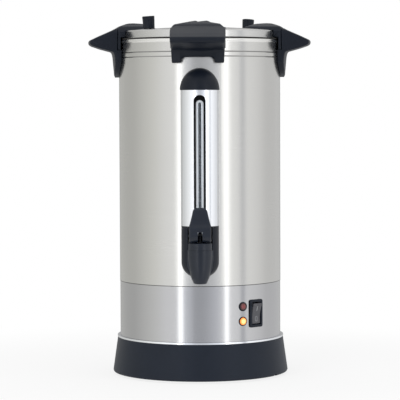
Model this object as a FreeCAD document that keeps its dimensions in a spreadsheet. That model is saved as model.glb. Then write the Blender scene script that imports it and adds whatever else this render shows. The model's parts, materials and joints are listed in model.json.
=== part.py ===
"""Coffee urn with a percolator set, a sight gauge and a lever tap.

Millimetres. The origin is on the tank's axis in the plane that the feet stand on.
+Z is up, the tap and the gauge face -Y, and +X is to the right of someone who faces the tap.
"""
import FreeCAD
import Part
import Sketcher
import math
import os

Vector = FreeCAD.Vector
Rotation = FreeCAD.Rotation

doc = FreeCAD.newDocument("CoffeeUrn")

# Driving sizes: name, value, what it is.
DRIVING_SIZES = [
    ("seat_gap", 0.3, "gap between pieces of two moving groups"),
    ("fit_gap", 0.1, "gap between pieces that are fixed together"),
    ("running_gap", 0.05, "radial gap of a shaft in its bearing"),
    ("small_round", 1.0, "small bevelled edges of feet, cups and bores"),
    ("tank_radius", 104.4, "outside of the tank wall"),
    ("tank_wall", 0.8, "tank sheet"),
    ("tank_top", 431.1, "top of the rim bead"),
    ("rim_bead_height", 3.9, "height of the rim bead"),
    ("rim_bead_bulge", 2.4, "radius of the rim bead's outer face"),
    ("rim_lip", 2.6, "width of the rim from outside to inside"),
    ("groove_drop_low", 22.2, "lower groove of the collar below the tank's top"),
    ("groove_drop_high", 16.3, "upper groove of the collar below the tank's top"),
    ("collar_groove_depth", 0.5, "depth of both grooves"),
    ("collar_groove_half", 0.9, "half the height of each groove"),
    ("skirt_height", 70.4, "skirt from its foot to the tank's lower edge"),
    ("floor_rise", 6.4, "tank floor above the seam"),
    ("floor_sheet", 1.0, "tank floor sheet"),
    ("well_radius", 27.0, "heating well in the floor"),
    ("well_depth", 6.0, "depth of the well"),
    ("skirt_step", 0.3, "how far the skirt lies inside the tank's round"),
    ("skirt_wall", 0.8, "skirt sheet"),
    ("flange_gap", 0.1, "skirt above the trim ring"),
    ("spigot_rise", 3.4, "how far the skirt reaches into the tank"),
    ("skirt_flange", 15.0, "inward flange at the skirt's foot"),
    ("trim_reach", 3.7, "bright trim ring beyond the skirt"),
    ("trim_sheet", 2.1, "height of the trim ring"),
    ("trim_overhang", 0.4, "trim ring beyond the base ring"),
    ("base_flare", 6.2, "flare of the base ring"),
    ("base_round", 2.5, "rounded lower corner of the base ring"),
    ("base_wall", 3.0, "wall of the base ring"),
    ("base_deck", 3.0, "thickness of the base ring's top deck"),
    ("base_top", 48.0, "top of the base ring"),
    ("base_lift", 2.0, "lower edge of the base ring above the ground"),
    ("notch_width", 5.0, "notches in the base ring's lower edge"),
    ("notch_height", 3.0, "notches in the base ring's lower edge"),
    ("notch_right", 58.0, "right notch, degrees from the tap"),
    ("notch_left", 66.0, "left notch, degrees from the tap"),
    ("deck_ledge", 10.0, "deck inside the tie rods, round the hole for the electrical parts"),
    ("plate_sheet", 2.0, "bottom plate"),
    ("plate_lift", 5.0, "bottom plate above the ground"),
    ("plate_inset", 6.6, "edge of the bottom plate inside the base ring's outside"),
    ("foot_radius", 9.0, "rubber foot"),
    ("foot_inset", 15.0, "centre of a foot from the plate's edge"),
    ("foot_stem", 4.0, "radius of the foot's stem in the plate"),
    ("boss_radius", 5.0, "screw post of the base ring"),
    ("post_inset", 11.0, "screw post from the plate's edge"),
    ("screw_radius", 2.0, "shank of every small screw"),
    ("screw_head_radius", 3.7, "head of every small screw"),
    ("screw_head_height", 2.2, "head of every small screw"),
    ("rod_radius", 2.5, "tie rod"),
    ("rod_inset", 24.4, "tie rod from the tank's outside"),
    ("nut_across", 9.0, "tie rod nut, corner to corner"),
    ("nut_height", 4.0, "tie rod nut"),
    ("heater_circle", 60.0, "ring of the main heater"),
    ("heater_tube", 4.0, "tube of the main heater"),
    ("keeper_circle", 42.0, "ring of the keep-warm heater"),
    ("keeper_tube", 3.0, "tube of the keep-warm heater"),
    ("thermostat_radius", 10.0, "disc thermostat"),
    ("thermostat_height", 9.0, "disc thermostat"),
    ("thermostat_offset", 1.0, "edge of the thermostat from the middle"),
    ("cutout_offset", 3.0, "edge of the thermal cut-out from the middle"),
    ("cutout_radius", 7.5, "thermal cut-out"),
    ("cutout_height", 7.0, "thermal cut-out"),
    ("shield_drop", 9.6, "heat shield below the seam"),
    ("shield_sheet", 0.6, "heat shield"),
    ("shield_ledge", 5.0, "heat shield inside the tie rods"),
    ("block_length", 34.0, "terminal block"),
    ("block_width", 17.0, "terminal block"),
    ("block_height", 15.0, "terminal block"),
    ("switch_angle", 42.3, "rocker switch, degrees from the tap"),
    ("switch_rise", 34.2, "centre of the switch above the skirt's foot"),
    ("bezel_width", 22.0, "switch bezel"),
    ("bezel_length", 35.3, "switch bezel"),
    ("bezel_sheet", 2.0, "switch bezel"),
    ("bezel_rim", 2.2, "rim of the bezel round the rocker"),
    ("switch_depth", 22.0, "switch body behind the skirt"),
    ("rocker_gap", 0.4, "gap round the rocker"),
    ("rocker_tilt", 8.0, "tilt of the rocker each side of level, degrees"),
    ("lamp_angle", 30.9, "indicator lamps, degrees from the tap"),
    ("red_lamp_rise", 9.7, "red lamp above the switch's centre"),
    ("amber_lamp_drop", 8.9, "amber lamp below the switch's centre"),
    ("lamp_radius", 6.0, "lamp bezel"),
    ("lens_radius", 4.5, "lamp lens"),
    ("lens_dome", 2.4, "dome of the lamp lens"),
    ("lens_grip", 1.0, "lip of the lamp bezel over the lens"),
    ("lamp_rise", 1.4, "lamp bezel in front of the skirt"),
    ("lamp_depth", 18.0, "lamp body behind the skirt"),
    ("inlet_rise", 35.8, "centre of the power inlet above the skirt's foot"),
    ("inlet_width", 23.0, "flange of the power inlet"),
    ("inlet_length", 50.0, "flange of the power inlet"),
    ("inlet_sheet", 2.6, "flange of the power inlet"),
    ("socket_width", 16.6, "socket of the power inlet"),
    ("socket_length", 24.6, "socket of the power inlet"),
    ("socket_depth", 16.0, "socket of the power inlet"),
    ("socket_wall", 1.6, "wall round the socket"),
    ("inlet_screw_pitch", 40.0, "between the inlet's two screws"),
    ("pin_width", 2.0, "contact pin of the inlet"),
    ("pin_height", 4.0, "contact pin of the inlet"),
    ("pin_across", 2.3, "contact pins from the inlet's middle line"),
    ("pin_apart", 6.9, "outer contact pins from the inlet's centre"),
    ("pin_gap", 0.02, "gap round a contact pin"),
    ("lid_inset", 4.4, "side of the lid inside the tank's outside"),
    ("lid_sheet", 0.8, "lid sheet"),
    ("lid_side", 12.1, "lid's upper edge above the tank's top"),
    ("lid_rise", 4.8, "dome of the lid over its edge"),
    ("lid_corner", 2.0, "rounded upper corner of the lid"),
    ("lid_lip", 1.6, "lip that rests on the gasket"),
    ("lid_plug_depth", 8.0, "lid below the rim's top"),
    ("gasket_inset", 0.8, "lid gasket inside the tank's outside"),
    ("gasket_height", 1.8, "lid gasket"),
    ("knob_radius", 7.8, "lid knob at the top"),
    ("knob_foot_radius", 7.2, "lid knob at the foot"),
    ("knob_height", 16.2, "lid knob"),
    ("knob_inset", 16.0, "lid knobs from the lid's side"),
    ("knob_angle", 40.6, "near lid knob, degrees from left towards the tap"),
    ("knob_lean", 4.8, "lean of the lid knobs, degrees"),
    ("knob_round", 1.0, "rounded upper edge of a lid knob"),
    ("knob_foot_round", 0.8, "rounded lower edge of a lid knob"),
    ("knob_flutes", 20, "flutes round a lid knob"),
    ("flute_radius", 0.8, "flutes round a lid knob"),
    ("handle_width", 69.2, "handle at the wing"),
    ("handle_foot_width", 65.2, "handle at the leg"),
    ("leg_straight", 28.1, "leg's straight part below the tank's top"),
    ("leg_length", 49.8, "lower end of the side handles below the tank's top"),
    ("wing_stand", 5.5, "inner face of the wing beyond the tank"),
    ("wing_rise", 15.1, "top of the wing at its inner face above the tank's top"),
    ("wing_length", 34.1, "wing from its inner face to its tip"),
    ("wing_tip_drop", 3.1, "centre of the wing's tip below the tank's top"),
    ("wing_tip_radius", 3.6, "rounding of the wing's tip"),
    ("wing_drop", 14.4, "underside of the wing at the leg below the tank's top"),
    ("leg_thickness", 8.6, "leg at the wing"),
    ("leg_foot_thickness", 6.4, "leg at its foot"),
    ("front_turn", 1.1, "front bracket and its lid clip turned to the left, degrees"),
    ("front_leg_length", 30.9, "lower end of the front bracket below the tank's top"),
    ("front_arch_width", 43.5, "arch in the front bracket over the gauge"),
    ("front_arch_rise", 7.3, "arch in the front bracket over its lower end"),
    ("handle_corner", 5.0, "rounded upper corners of the handles"),
    ("leg_corner", 2.5, "rounded outer corner of the leg's foot"),
    ("wing_root", 2.4, "rounded corner between leg and wing"),
    ("wing_belly", 17.0, "where the wing's underside bends, from the leg"),
    ("belly_rise", 3.4, "rise of the underside up to that bend"),
    ("wing_knee", 12.0, "where the wing's upper face bends, from its tip"),
    ("knee_rise", 8.2, "rise of the upper face up to that bend"),
    ("wing_crown", 4.4, "nearly level top of the wing"),
    ("crown_fall", 2.2, "fall of that top"),
    ("handle_screw_offset", 27.0, "handle screws each side of the middle"),
    ("handle_screw_drop", 26.6, "handle screws below the tank's top"),
    ("handle_screw_length", 6.5, "handle screws outside the tank"),
    ("clip_length", 26.0, "lid clip inwards from the lid's side"),
    ("clip_drop", 12.8, "lower end of the lid clip below the tank's top"),
    ("clip_rise", 10.7, "top of the lid clip above the lid's edge"),
    ("clip_crest_run", 13.0, "highest line of the clip from its inner end"),
    ("rivet_run", 6.5, "rivets of a lid clip from its inner end"),
    ("clip_nose", 3.0, "rounded inner end of the clip"),
    ("clip_nose_rise", 3.9, "rise of the clip's inner end"),
    ("clip_back_run", 7.0, "level back of the clip behind its crest"),
    ("clip_back_fall", 0.9, "fall of that back"),
    ("clip_shoulder", 4.5, "rounded outer shoulder of the clip"),
    ("clip_shoulder_fall", 2.7, "fall over that shoulder"),
    ("clip_side", 10.0, "where the clip's rounded upper corners start, below its top"),
    ("clip_corner", 3.5, "rounded upper corners of the clip"),
    ("right_hump", 12.5, "middle of the right hump on the clip from its middle"),
    ("right_hump_foot", 15.6, "right foot of the right hump"),
    ("left_hump", 2.5, "left hump's highest point from the clip's middle"),
    ("left_hump_foot", 18.9, "left foot of the left hump"),
    ("hump_dip", 2.4, "dip between the humps"),
    ("hump_fall", 2.5, "fall at both feet of the humps"),
    ("clip_rivet_offset", 20.0, "rivets each side of the clip's middle"),
    ("rivet_grip", 4.0, "rivet beyond the lid's sheet"),
    ("clip_room", 1.6, "inner face of the clip beyond the tank's outside"),
    ("gauge_radius", 24.0, "half round gauge cover"),
    ("gauge_sink", 0.9, "centre of the cover's round inside the tank's outside"),
    ("gauge_sheet", 1.0, "gauge cover sheet"),
    ("cover_rise", 12.0, "lower end of the gauge cover above the tube's block"),
    ("cover_length", 168.9, "gauge cover"),
    ("cap_height", 27.5, "gauge's upper cap"),
    ("cap_lap", 0.8, "upper cap beyond the cover's round"),
    ("cap_wall", 2.0, "wall of the gauge's caps"),
    ("slot_width", 15.1, "window of the gauge cover"),
    ("slot_sill", 5.5, "window above the cover's lower end"),
    ("slot_head", 6.1, "window below the cover's upper end"),
    ("channel_wall", 1.4, "dark channel behind the window"),
    ("channel_gap", 0.8, "back of the channel from the tank"),
    ("tube_radius", 4.75, "sight tube"),
    ("tube_wall", 1.2, "sight tube"),
    ("tube_run", 9.0, "sight tube in front of the cover's centre"),
    ("tube_head", 6.5, "top of the sight tube below the window's top"),
    ("tube_seat", 6.5, "foot of the sight tube in its block"),
    ("vent_radius", 0.8, "vent in the sight tube's top"),
    ("shroud_step", 0.5, "shroud inside the cover's round"),
    ("shroud_bend", 6.0, "where the shroud's rounded end starts, below the shank"),
    ("shroud_drop", 20.8, "shroud's rounded end"),
    ("tap_run", 24.0, "valve's axis in front of the cover's centre"),
    ("tap_radius", 15.6, "valve barrel"),
    ("waist_rise", 2.0, "where the barrel starts to taper, above the shank"),
    ("barrel_rise", 10.5, "top of the valve barrel above the shank"),
    ("bonnet_height", 9.0, "bonnet above the barrel"),
    ("bonnet_inset", 0.5, "bonnet inside the barrel's round"),
    ("bonnet_round", 1.5, "rounded upper edge of the bonnet"),
    ("plug_drop", 4.0, "plug of the bonnet in the valve chamber"),
    ("web_width", 34.0, "cheeks each side of the barrel"),
    ("cheek_proud", 0.9, "front of the cheeks beyond the valve's axis"),
    ("cheek_depth", 10.0, "cheeks from front to back"),
    ("spout_length", 19.5, "spout below the valve seat"),
    ("spout_radius", 7.6, "outside of the spout's mouth"),
    ("spout_bore", 5.5, "bore of the spout"),
    ("chamber_radius", 10.0, "valve chamber"),
    ("seat_drop", 12.0, "valve seat below the shank"),
    ("shank_rise", 37.4, "tap's shank above the seam"),
    ("shank_radius", 8.5, "tap's shank"),
    ("shank_bore", 5.5, "bore of the shank"),
    ("shank_run", 13.4, "shank inside the tank's outside"),
    ("riser_width", 14.6, "block that carries the sight tube"),
    ("riser_rise", 8.0, "block that carries the sight tube, above the bonnet"),
    ("riser_bore", 3.0, "water way to the sight tube"),
    ("riser_lip", 0.6, "wall of that block in front of the tube's seal"),
    ("washer_sheet", 2.0, "tap washers"),
    ("washer_radius", 14.0, "tap washers"),
    ("tap_nut_across", 30.0, "nut of the shank, corner to corner"),
    ("tap_nut_height", 6.0, "nut of the shank"),
    ("stem_radius", 2.2, "valve stem"),
    ("collar_rise", 1.6, "collar on the stem under the spring"),
    ("eye_radius", 3.2, "eye of the stem"),
    ("eye_width", 4.6, "eye of the stem"),
    ("lever_pin_radius", 1.5, "pin through the lever and the stem"),
    ("lever_width", 27.3, "lever at its hub"),
    ("hub_radius", 10.0, "round of the lever's hub"),
    ("hub_offset", 6.0, "hub's centre in front of the pin"),
    ("lever_slot", 5.9, "slot of the lever for the stem"),
    ("lever_slot_rise", 3.6, "slot above the pin"),
    ("shoulder_rise", 21.5, "where the lever starts to narrow, above the bonnet"),
    ("lever_length", 22.3, "lever above its shoulder"),
    ("lever_top_width", 14.5, "lever at its top"),
    ("lever_thick", 7.0, "paddle of the lever"),
    ("lever_lean", 2.0, "how far the paddle leans out"),
    ("shoulder_round", 4.0, "front of the lever rounds off below its shoulder"),
    ("lever_tip_round", 5.0, "rounded upper corners of the lever"),
    ("lever_tip_flare", 1.5, "width gained below those corners"),
    ("lever_tip_inset", 2.0, "level top of the lever inside its width"),
    ("pin_inset", 1.0, "ends of the lever's pin inside the lever"),
    ("seal_height", 6.0, "rubber valve cup"),
    ("cup_gap", 1.8, "valve cup inside the chamber"),
    ("spring_radius", 5.0, "middle of the spring's wire"),
    ("spring_wire", 0.5, "radius of the spring's wire"),
    ("spring_turns", 5, "turns of the spring"),
    ("pump_radius", 6.0, "percolator tube"),
    ("pump_wall", 0.8, "percolator tube"),
    ("pump_stand", 16.0, "percolator tube above the basket"),
    ("pump_foot_radius", 24.0, "foot of the percolator tube"),
    ("pump_foot_height", 9.0, "foot of the percolator tube"),
    ("foot_sheet", 1.2, "sheet of the percolator's foot"),
    ("foot_rim", 2.0, "upright rim of the percolator's foot"),
    ("foot_neck", 5.0, "top of the foot's cone beyond the tube"),
    ("foot_collar", 3.0, "collar of the foot round the tube, above the cone"),
    ("basket_radius", 64.0, "coffee basket"),
    ("basket_low", 330.0, "floor of the basket"),
    ("basket_height", 58.0, "coffee basket"),
    ("basket_sheet", 0.8, "basket sheet"),
    ("basket_hole", 1.2, "radius of the basket's holes"),
    ("basket_round", 4.0, "rounded lower edge of the basket"),
    ("basket_sleeve", 7.4, "sleeve in the middle of the basket"),
    ("sleeve_drop", 6.0, "top of the sleeve below the basket's rim"),
    ("spreader_lip", 1.5, "spreader beyond the basket's round"),
    ("stop_radius", 9.5, "collar under the basket"),
    ("stop_height", 4.0, "collar under the basket"),
]

sheet = doc.addObject("Spreadsheet::Sheet", "Sizes")
for row, (alias, value, meaning) in enumerate(DRIVING_SIZES, start=1):
    sheet.set("A%d" % row, meaning)
    sheet.set("B%d" % row, str(value))
    sheet.setAlias("B%d" % row, alias)
doc.recompute()


class Size:
    """A length with its number and its formula in the sheet, so that sums of sizes stay tied to it."""

    def __init__(self, value, text):
        self.value = value
        self.text = text

    def joined(self, other, sign, turned_round=False):
        other_value = number(other)
        other_text = formula(other)
        first, second = (other_value, self.value) if turned_round else (self.value, other_value)
        results = {"+": lambda: first + second, "-": lambda: first - second,
                   "*": lambda: first * second, "/": lambda: first / second}
        texts = (other_text, self.text) if turned_round else (self.text, other_text)
        return Size(results[sign](), "(%s %s %s)" % (texts[0], sign, texts[1]))

    def __add__(self, other):
        return self.joined(other, "+")

    def __radd__(self, other):
        return self.joined(other, "+", True)

    def __sub__(self, other):
        return self.joined(other, "-")

    def __rsub__(self, other):
        return self.joined(other, "-", True)

    def __mul__(self, other):
        return self.joined(other, "*")

    def __rmul__(self, other):
        return self.joined(other, "*", True)

    def __truediv__(self, other):
        return self.joined(other, "/")

    def __neg__(self):
        return self.joined(0, "-", True)


def number(size):
    """The plain number of a size."""
    return size.value if isinstance(size, Size) else float(size)


def formula(size):
    """The formula of a size for the sheet."""
    return size.text if isinstance(size, Size) else "%.6f" % float(size)


class Sizes:
    """The sheet's cells by name."""

    def __getattr__(self, alias):
        return Size(float(sheet.get(alias)), "Sizes." + alias)


S = Sizes()

# Sizes that follow from others, so that what fits together moves together
S.collar_groove_low = S.tank_top - S.groove_drop_low
S.collar_groove_high = S.tank_top - S.groove_drop_high
S.skirt_radius = S.tank_radius - S.skirt_step
S.skirt_foot = S.base_top + S.trim_sheet + S.flange_gap
S.seam_height = S.skirt_foot + S.skirt_height
S.trim_radius = S.skirt_radius + S.trim_reach
S.base_top_radius = S.trim_radius - S.trim_overhang
S.base_low_radius = S.base_top_radius + S.base_flare
S.plate_radius = S.base_low_radius - S.plate_inset
S.foot_circle = S.plate_radius - S.foot_inset
S.boss_circle = S.plate_radius - S.post_inset
S.rod_circle = S.tank_radius - S.rod_inset
S.deck_hole_radius = S.rod_circle - S.deck_ledge
S.shield_hole = S.rod_circle - S.shield_ledge
S.shield_height = S.seam_height - S.shield_drop
S.switch_height = S.skirt_foot + S.switch_rise
S.red_lamp_height = S.switch_height + S.red_lamp_rise
S.amber_lamp_height = S.switch_height - S.amber_lamp_drop
S.inlet_height = S.skirt_foot + S.inlet_rise
S.lid_radius = S.tank_radius - S.lid_inset
S.lid_edge = S.tank_top + S.lid_side
S.lid_lip_radius = S.lid_radius + S.lid_lip
S.gasket_radius = S.tank_radius - S.gasket_inset
S.knob_circle = S.lid_radius - S.knob_inset
S.handle_foot_height = S.tank_top - S.leg_straight
S.handle_end_height = S.tank_top - S.leg_length
S.handle_part = S.tank_radius + S.wing_stand
S.handle_top = S.tank_top + S.wing_rise
S.wing_reach = S.handle_part + S.wing_length
S.wing_tip_height = S.tank_top - S.wing_tip_drop
S.wing_under = S.tank_top - S.wing_drop
S.leg_reach = S.tank_radius + S.leg_thickness
S.leg_foot_reach = S.tank_radius + S.leg_foot_thickness
S.front_leg_height = S.tank_top - S.front_leg_length
S.front_arch_height = S.front_leg_height + S.front_arch_rise
S.handle_screw_height = S.tank_top - S.handle_screw_drop
S.clip_outside = S.handle_part - S.seat_gap
S.clip_inside = S.lid_radius - S.clip_length
S.clip_foot = S.tank_top - S.clip_drop
S.clip_top = S.lid_edge + S.clip_rise
S.clip_crest = S.clip_inside + S.clip_crest_run
S.clip_rivet_circle = S.clip_inside + S.rivet_run
S.gauge_centre = S.tank_radius - S.gauge_sink
S.channel_back = S.tank_radius + S.channel_gap
S.tube_reach = S.gauge_centre + S.tube_run
S.shroud_radius = S.gauge_radius - S.shroud_step
S.tap_reach = S.gauge_centre + S.tap_run
S.web_front = S.tap_reach + S.cheek_proud
S.web_back = S.web_front - S.cheek_depth
S.shank_end = S.tank_radius - S.shank_run
S.shank_height = S.seam_height + S.shank_rise
S.shroud_straight = S.shank_height - S.shroud_bend
S.shroud_low = S.shroud_straight - S.shroud_drop
S.tap_waist = S.shank_height + S.waist_rise
S.barrel_top = S.shank_height + S.barrel_rise
S.bonnet_top = S.barrel_top + S.bonnet_height
S.chamber_floor = S.shank_height - S.seat_drop
S.spout_low = S.chamber_floor - S.spout_length
S.riser_top = S.bonnet_top + S.riser_rise
S.gauge_low = S.riser_top + S.cover_rise
S.gauge_high = S.gauge_low + S.cover_length
S.gauge_cap_top = S.gauge_high + S.cap_height
S.slot_low = S.gauge_low + S.slot_sill
S.slot_high = S.gauge_high - S.slot_head
S.tube_top = S.slot_high - S.tube_head
S.tube_foot = S.riser_top - S.tube_seat
S.lever_shoulder = S.bonnet_top + S.shoulder_rise
S.lever_top = S.lever_shoulder + S.lever_length
S.bonnet_radius = S.tap_radius - S.bonnet_inset
S.seal_radius = S.chamber_radius - S.cup_gap
S.basket_high = S.basket_low + S.basket_height
S.pump_top = S.basket_high + S.pump_stand
nodes = {}


def node(piece, name):
    """Names a finished piece and keeps it for the hand-over."""
    piece.Label = name
    nodes[name] = piece
    return piece


def tie(piece, path, size):
    """Binds a property to the sheet where its size comes from there."""
    if isinstance(size, Size):
        piece.setExpression(path, size.text)


def place(piece, x=0, y=0, z=0, turn=Rotation()):
    """Puts a piece at a point tied to the sheet, turned as given."""
    piece.Placement = FreeCAD.Placement(Vector(number(x), number(y), number(z)), turn)
    for axis, size in (("x", x), ("y", y), ("z", z)):
        tie(piece, ".Placement.Base." + axis, size)
    return piece


def about_axis(piece, angle):
    """Turns a piece about the tank's axis by an angle in degrees."""
    piece.Placement = FreeCAD.Placement(Vector(0, 0, 0), Rotation(Vector(0, 0, 1), number(angle)))
    return piece


def arc_centre(start, end, radius, side):
    """The centre of an arc from start to end that turns left (side 1) or right (side -1)."""
    chord = end - start
    reach = math.sqrt(max(radius ** 2 - (chord.Length / 2) ** 2, 0))
    across = Vector(-chord.y, chord.x, 0).normalize()
    return (start + end) / 2 + across * reach * side


def drawn(body, role, outline, offset=0):
    """A sketch on one of a body's own planes. Each point of the outline is (across, up), or
    (across, up, radius, side) where an arc leads to it, and each coordinate is tied to the sheet."""
    sketch = body.newObject("Sketcher::SketchObject", body.Name + "Outline")
    plane = [feature for feature in body.Origin.OriginFeatures if feature.Role == role][0]
    sketch.AttachmentSupport = [(plane, "")]
    sketch.MapMode = "FlatFace"
    sketch.AttachmentOffset = FreeCAD.Placement(Vector(0, 0, number(offset)), Rotation())
    tie(sketch, ".AttachmentOffset.Base.z", offset)
    corners = [Vector(number(point[0]), number(point[1]), 0) for point in outline]
    count = len(outline)
    ends = []
    for i in range(count):
        start = corners[i]
        end = corners[(i + 1) % count]
        item = outline[(i + 1) % count]
        if len(item) == 2:
            sketch.addGeometry(Part.LineSegment(start, end))
            ends.append((1, 2))
            continue
        side = item[3]
        centre = arc_centre(start, end, number(item[2]), side)
        first, last = (start, end) if side > 0 else (end, start)
        angles = [math.atan2(p.y - centre.y, p.x - centre.x) for p in (first, last)]
        if angles[1] <= angles[0]:
            angles[1] += 2 * math.pi
        circle = Part.Circle(centre, Vector(0, 0, 1), number(item[2]))
        sketch.addGeometry(Part.ArcOfCircle(circle, angles[0], angles[1]))
        ends.append((1, 2) if side > 0 else (2, 1))
    for i in range(count):
        following = (i + 1) % count
        sketch.addConstraint(Sketcher.Constraint("Coincident", i, ends[i][1], following, ends[following][0]))
    for i in range(count):
        for kind, axis_line, coordinate, size in (("DistanceX", -2, corners[i].x, outline[i][0]),
                                                  ("DistanceY", -1, corners[i].y, outline[i][1])):
            if not isinstance(size, Size) and coordinate == 0:
                sketch.addConstraint(Sketcher.Constraint("PointOnObject", i, ends[i][0], axis_line))
                continue
            held = sketch.addConstraint(Sketcher.Constraint(kind, -1, 1, i, ends[i][0], coordinate))
            tie(sketch, "Constraints[%d]" % held, size)
        item = outline[(i + 1) % count]
        if len(item) > 2:
            held = sketch.addConstraint(Sketcher.Constraint("Radius", i, number(item[2])))
            tie(sketch, "Constraints[%d]" % held, item[2])
    return sketch


def turned(name, outline):
    """A body turned about its upright axis from an outline of (radius, height) points."""
    body = doc.addObject("PartDesign::Body", name)
    sketch = drawn(body, "XZ_Plane", outline)
    turn = body.newObject("PartDesign::Revolution", name + "Turn")
    turn.Profile = sketch
    turn.ReferenceAxis = (sketch, ["V_Axis"])
    turn.Angle = 360
    return body


def padded(name, role, outline, length, offset=0):
    """A body of one outline padded square to its plane: up from XY_Plane, towards -Y from XZ_Plane
    and towards +X from YZ_Plane, from an offset the same way."""
    body = doc.addObject("PartDesign::Body", name)
    sketch = drawn(body, role, outline, offset)
    pad = body.newObject("PartDesign::Pad", name + "Pad")
    pad.Profile = sketch
    pad.Length = number(length)
    tie(pad, "Length", length)
    return body


def rectangle(low_across, low_up, high_across, high_up):
    """The four corners of an outline with square corners."""
    return [(low_across, low_up), (high_across, low_up), (high_across, high_up), (low_across, high_up)]


def rounded_rectangle(low_across, low_up, high_across, high_up, radius):
    """The same with rounded corners."""
    return [
        (low_across + radius, low_up, radius, 1),
        (high_across - radius, low_up),
        (high_across, low_up + radius, radius, 1),
        (high_across, high_up - radius),
        (high_across - radius, high_up, radius, 1),
        (low_across + radius, high_up),
        (low_across, high_up - radius, radius, 1),
        (low_across, low_up + radius),
    ]


def ring(inner, low, outer, high):
    """The outline of a plain ring."""
    return rectangle(inner, low, outer, high)


def cylinder(name, radius, length, x=0, y=0, z=0, turn=Rotation()):
    """A round bar from a point along its own +Z."""
    bar = doc.addObject("Part::Cylinder", name)
    bar.Radius = number(radius)
    bar.Height = number(length)
    tie(bar, "Radius", radius)
    tie(bar, "Height", length)
    return place(bar, x, y, z, turn)


def block(name, width, depth, height, x, y, z):
    """A box centred on x and y that stands on z."""
    box = doc.addObject("Part::Box", name)
    for side, size in (("Length", width), ("Width", depth), ("Height", height)):
        setattr(box, side, number(size))
        tie(box, side, size)
    return place(box, x - width / 2, y - depth / 2, z)


def fused(name, *pieces):
    """Several shapes as one."""
    union = doc.addObject("Part::MultiFuse", name)
    union.Shapes = list(pieces)
    return union


def cut(name, base, *tools):
    """A shape with others taken away from it."""
    result = doc.addObject("Part::Cut", name)
    result.Base = base
    result.Tool = tools[0] if len(tools) == 1 else fused(name + "Tools", *tools)
    return result


def bundled(name, pieces):
    """Separate shapes kept together, which is quicker to cut with than their fusion."""
    bundle = doc.addObject("Part::Compound", name)
    bundle.Links = list(pieces)
    return bundle


def carried(name, angle, *pieces):
    """Shapes made as if they faced the front, turned together about the tank's axis."""
    return about_axis(bundled(name, pieces), angle)


def common(name, first, second):
    """What two shapes share."""
    result = doc.addObject("Part::Common", name)
    result.Base = first
    result.Tool = second
    return result


def group(name, pieces):
    """Separate equal pieces kept in one node."""
    return node(bundled(name, pieces), name)


FORWARD = Rotation(Vector(1, 0, 0), 90)
BACKWARD = Rotation(Vector(1, 0, 0), -90)
SIDEWAYS = Rotation(Vector(0, 1, 0), 90)
FRONT = -90
FRONT_GRIP = FRONT - S.front_turn.value
HANDLE_ANGLES = {"right_handle": 0, "rear_handle": 90, "left_handle": 180, "front_bracket": FRONT_GRIP}


def outward(angle):
    """The turn that lays a bar's own +Z along a level direction at an angle from +X."""
    return Rotation(Vector(0, 0, 1), angle) * SIDEWAYS


def on_circle(radius, angle):
    """A point of a circle about the axis, with both coordinates tied to its radius."""
    return radius * math.cos(math.radians(angle)), radius * math.sin(math.radians(angle))


def screw(name, length, x, y, z, turn):
    """A round headed screw: the shank runs along its own +Z from the underside of the head."""
    low = -S.screw_head_height
    outline = [
        (0, low),
        (S.screw_head_radius * 0.6, low),
        (S.screw_head_radius, low * 0.45),
        (S.screw_head_radius, 0),
        (S.screw_radius, 0),
        (S.screw_radius, length),
        (0, length),
    ]
    return place(turned(name, outline), x, y, z, turn)


def screw_hole(name, length, x, y, z, turn):
    """The clearance hole of a screw, through whatever lies along its shank."""
    return cylinder(name, S.screw_radius + S.running_gap, length, x, y, z, turn)


# Heights and radii that several pieces share
tank_inside = S.tank_radius - S.tank_wall
rim_low = S.tank_top - S.rim_bead_height
floor_top = S.seam_height + S.floor_rise
floor_under = floor_top - S.floor_sheet
well_floor = floor_top - S.well_depth
well_under = well_floor - S.floor_sheet
skirt_inside = S.skirt_radius - S.skirt_wall
skirt_top = S.seam_height - S.fit_gap
deck_under = S.base_top - S.base_deck
trim_top = S.base_top + S.trim_sheet
plate_top = S.plate_lift + S.plate_sheet
gasket_low = S.tank_top + S.seat_gap
gasket_top = gasket_low + S.gasket_height
lid_top = S.lid_edge + S.lid_rise
lid_crown = S.lid_radius - S.lid_corner
lid_dome = (lid_crown * lid_crown + S.lid_rise * S.lid_rise) / (2 * S.lid_rise)
handle_screw_angle = math.degrees(math.asin(number(S.handle_screw_offset) / number(S.tank_radius)))
handle_screw_spots = [(angle, side) for angle in HANDLE_ANGLES.values() for side in (1, -1)]
rod_angles = [30, 150, 270]
post_angles = [20, 110, 200, 290]
foot_angles = [45, 135, 225, 315]


# Tank: one deep drawn shell with a rolled rim, a grooved collar and a heating well in its floor
def groove(height):
    """The three corners of a collar groove, going up."""
    return [
        (S.tank_radius, height - S.collar_groove_half),
        (S.tank_radius - S.collar_groove_depth, height),
        (S.tank_radius, height + S.collar_groove_half),
    ]


tank_shell = turned("TankShell", [
    (0, well_under),
    (S.well_radius + S.floor_sheet, well_under),
    (S.well_radius + S.floor_sheet, floor_under),
    (tank_inside, floor_under),
    (tank_inside, S.seam_height),
    (S.tank_radius, S.seam_height),
] + groove(S.collar_groove_low) + groove(S.collar_groove_high) + [
    (S.tank_radius, rim_low),
    (S.tank_radius, S.tank_top, S.rim_bead_bulge, 1),
    (S.tank_radius - S.rim_lip, S.tank_top),
    (S.tank_radius - S.rim_lip, rim_low),
    (tank_inside, rim_low - S.rim_lip),
    (tank_inside, floor_top),
    (S.well_radius, floor_top),
    (S.well_radius, well_floor),
    (0, well_floor),
])
gauge_screw_height = (S.gauge_high + S.gauge_cap_top) / 2
tank_holes = [cylinder("ShankHole", S.shank_radius + S.fit_gap, S.tank_radius,
                       0, 0, S.shank_height, FORWARD),
              screw_hole("GaugeScrewHole", S.tank_radius * 2, 0, 0, gauge_screw_height, FORWARD)]
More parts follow.
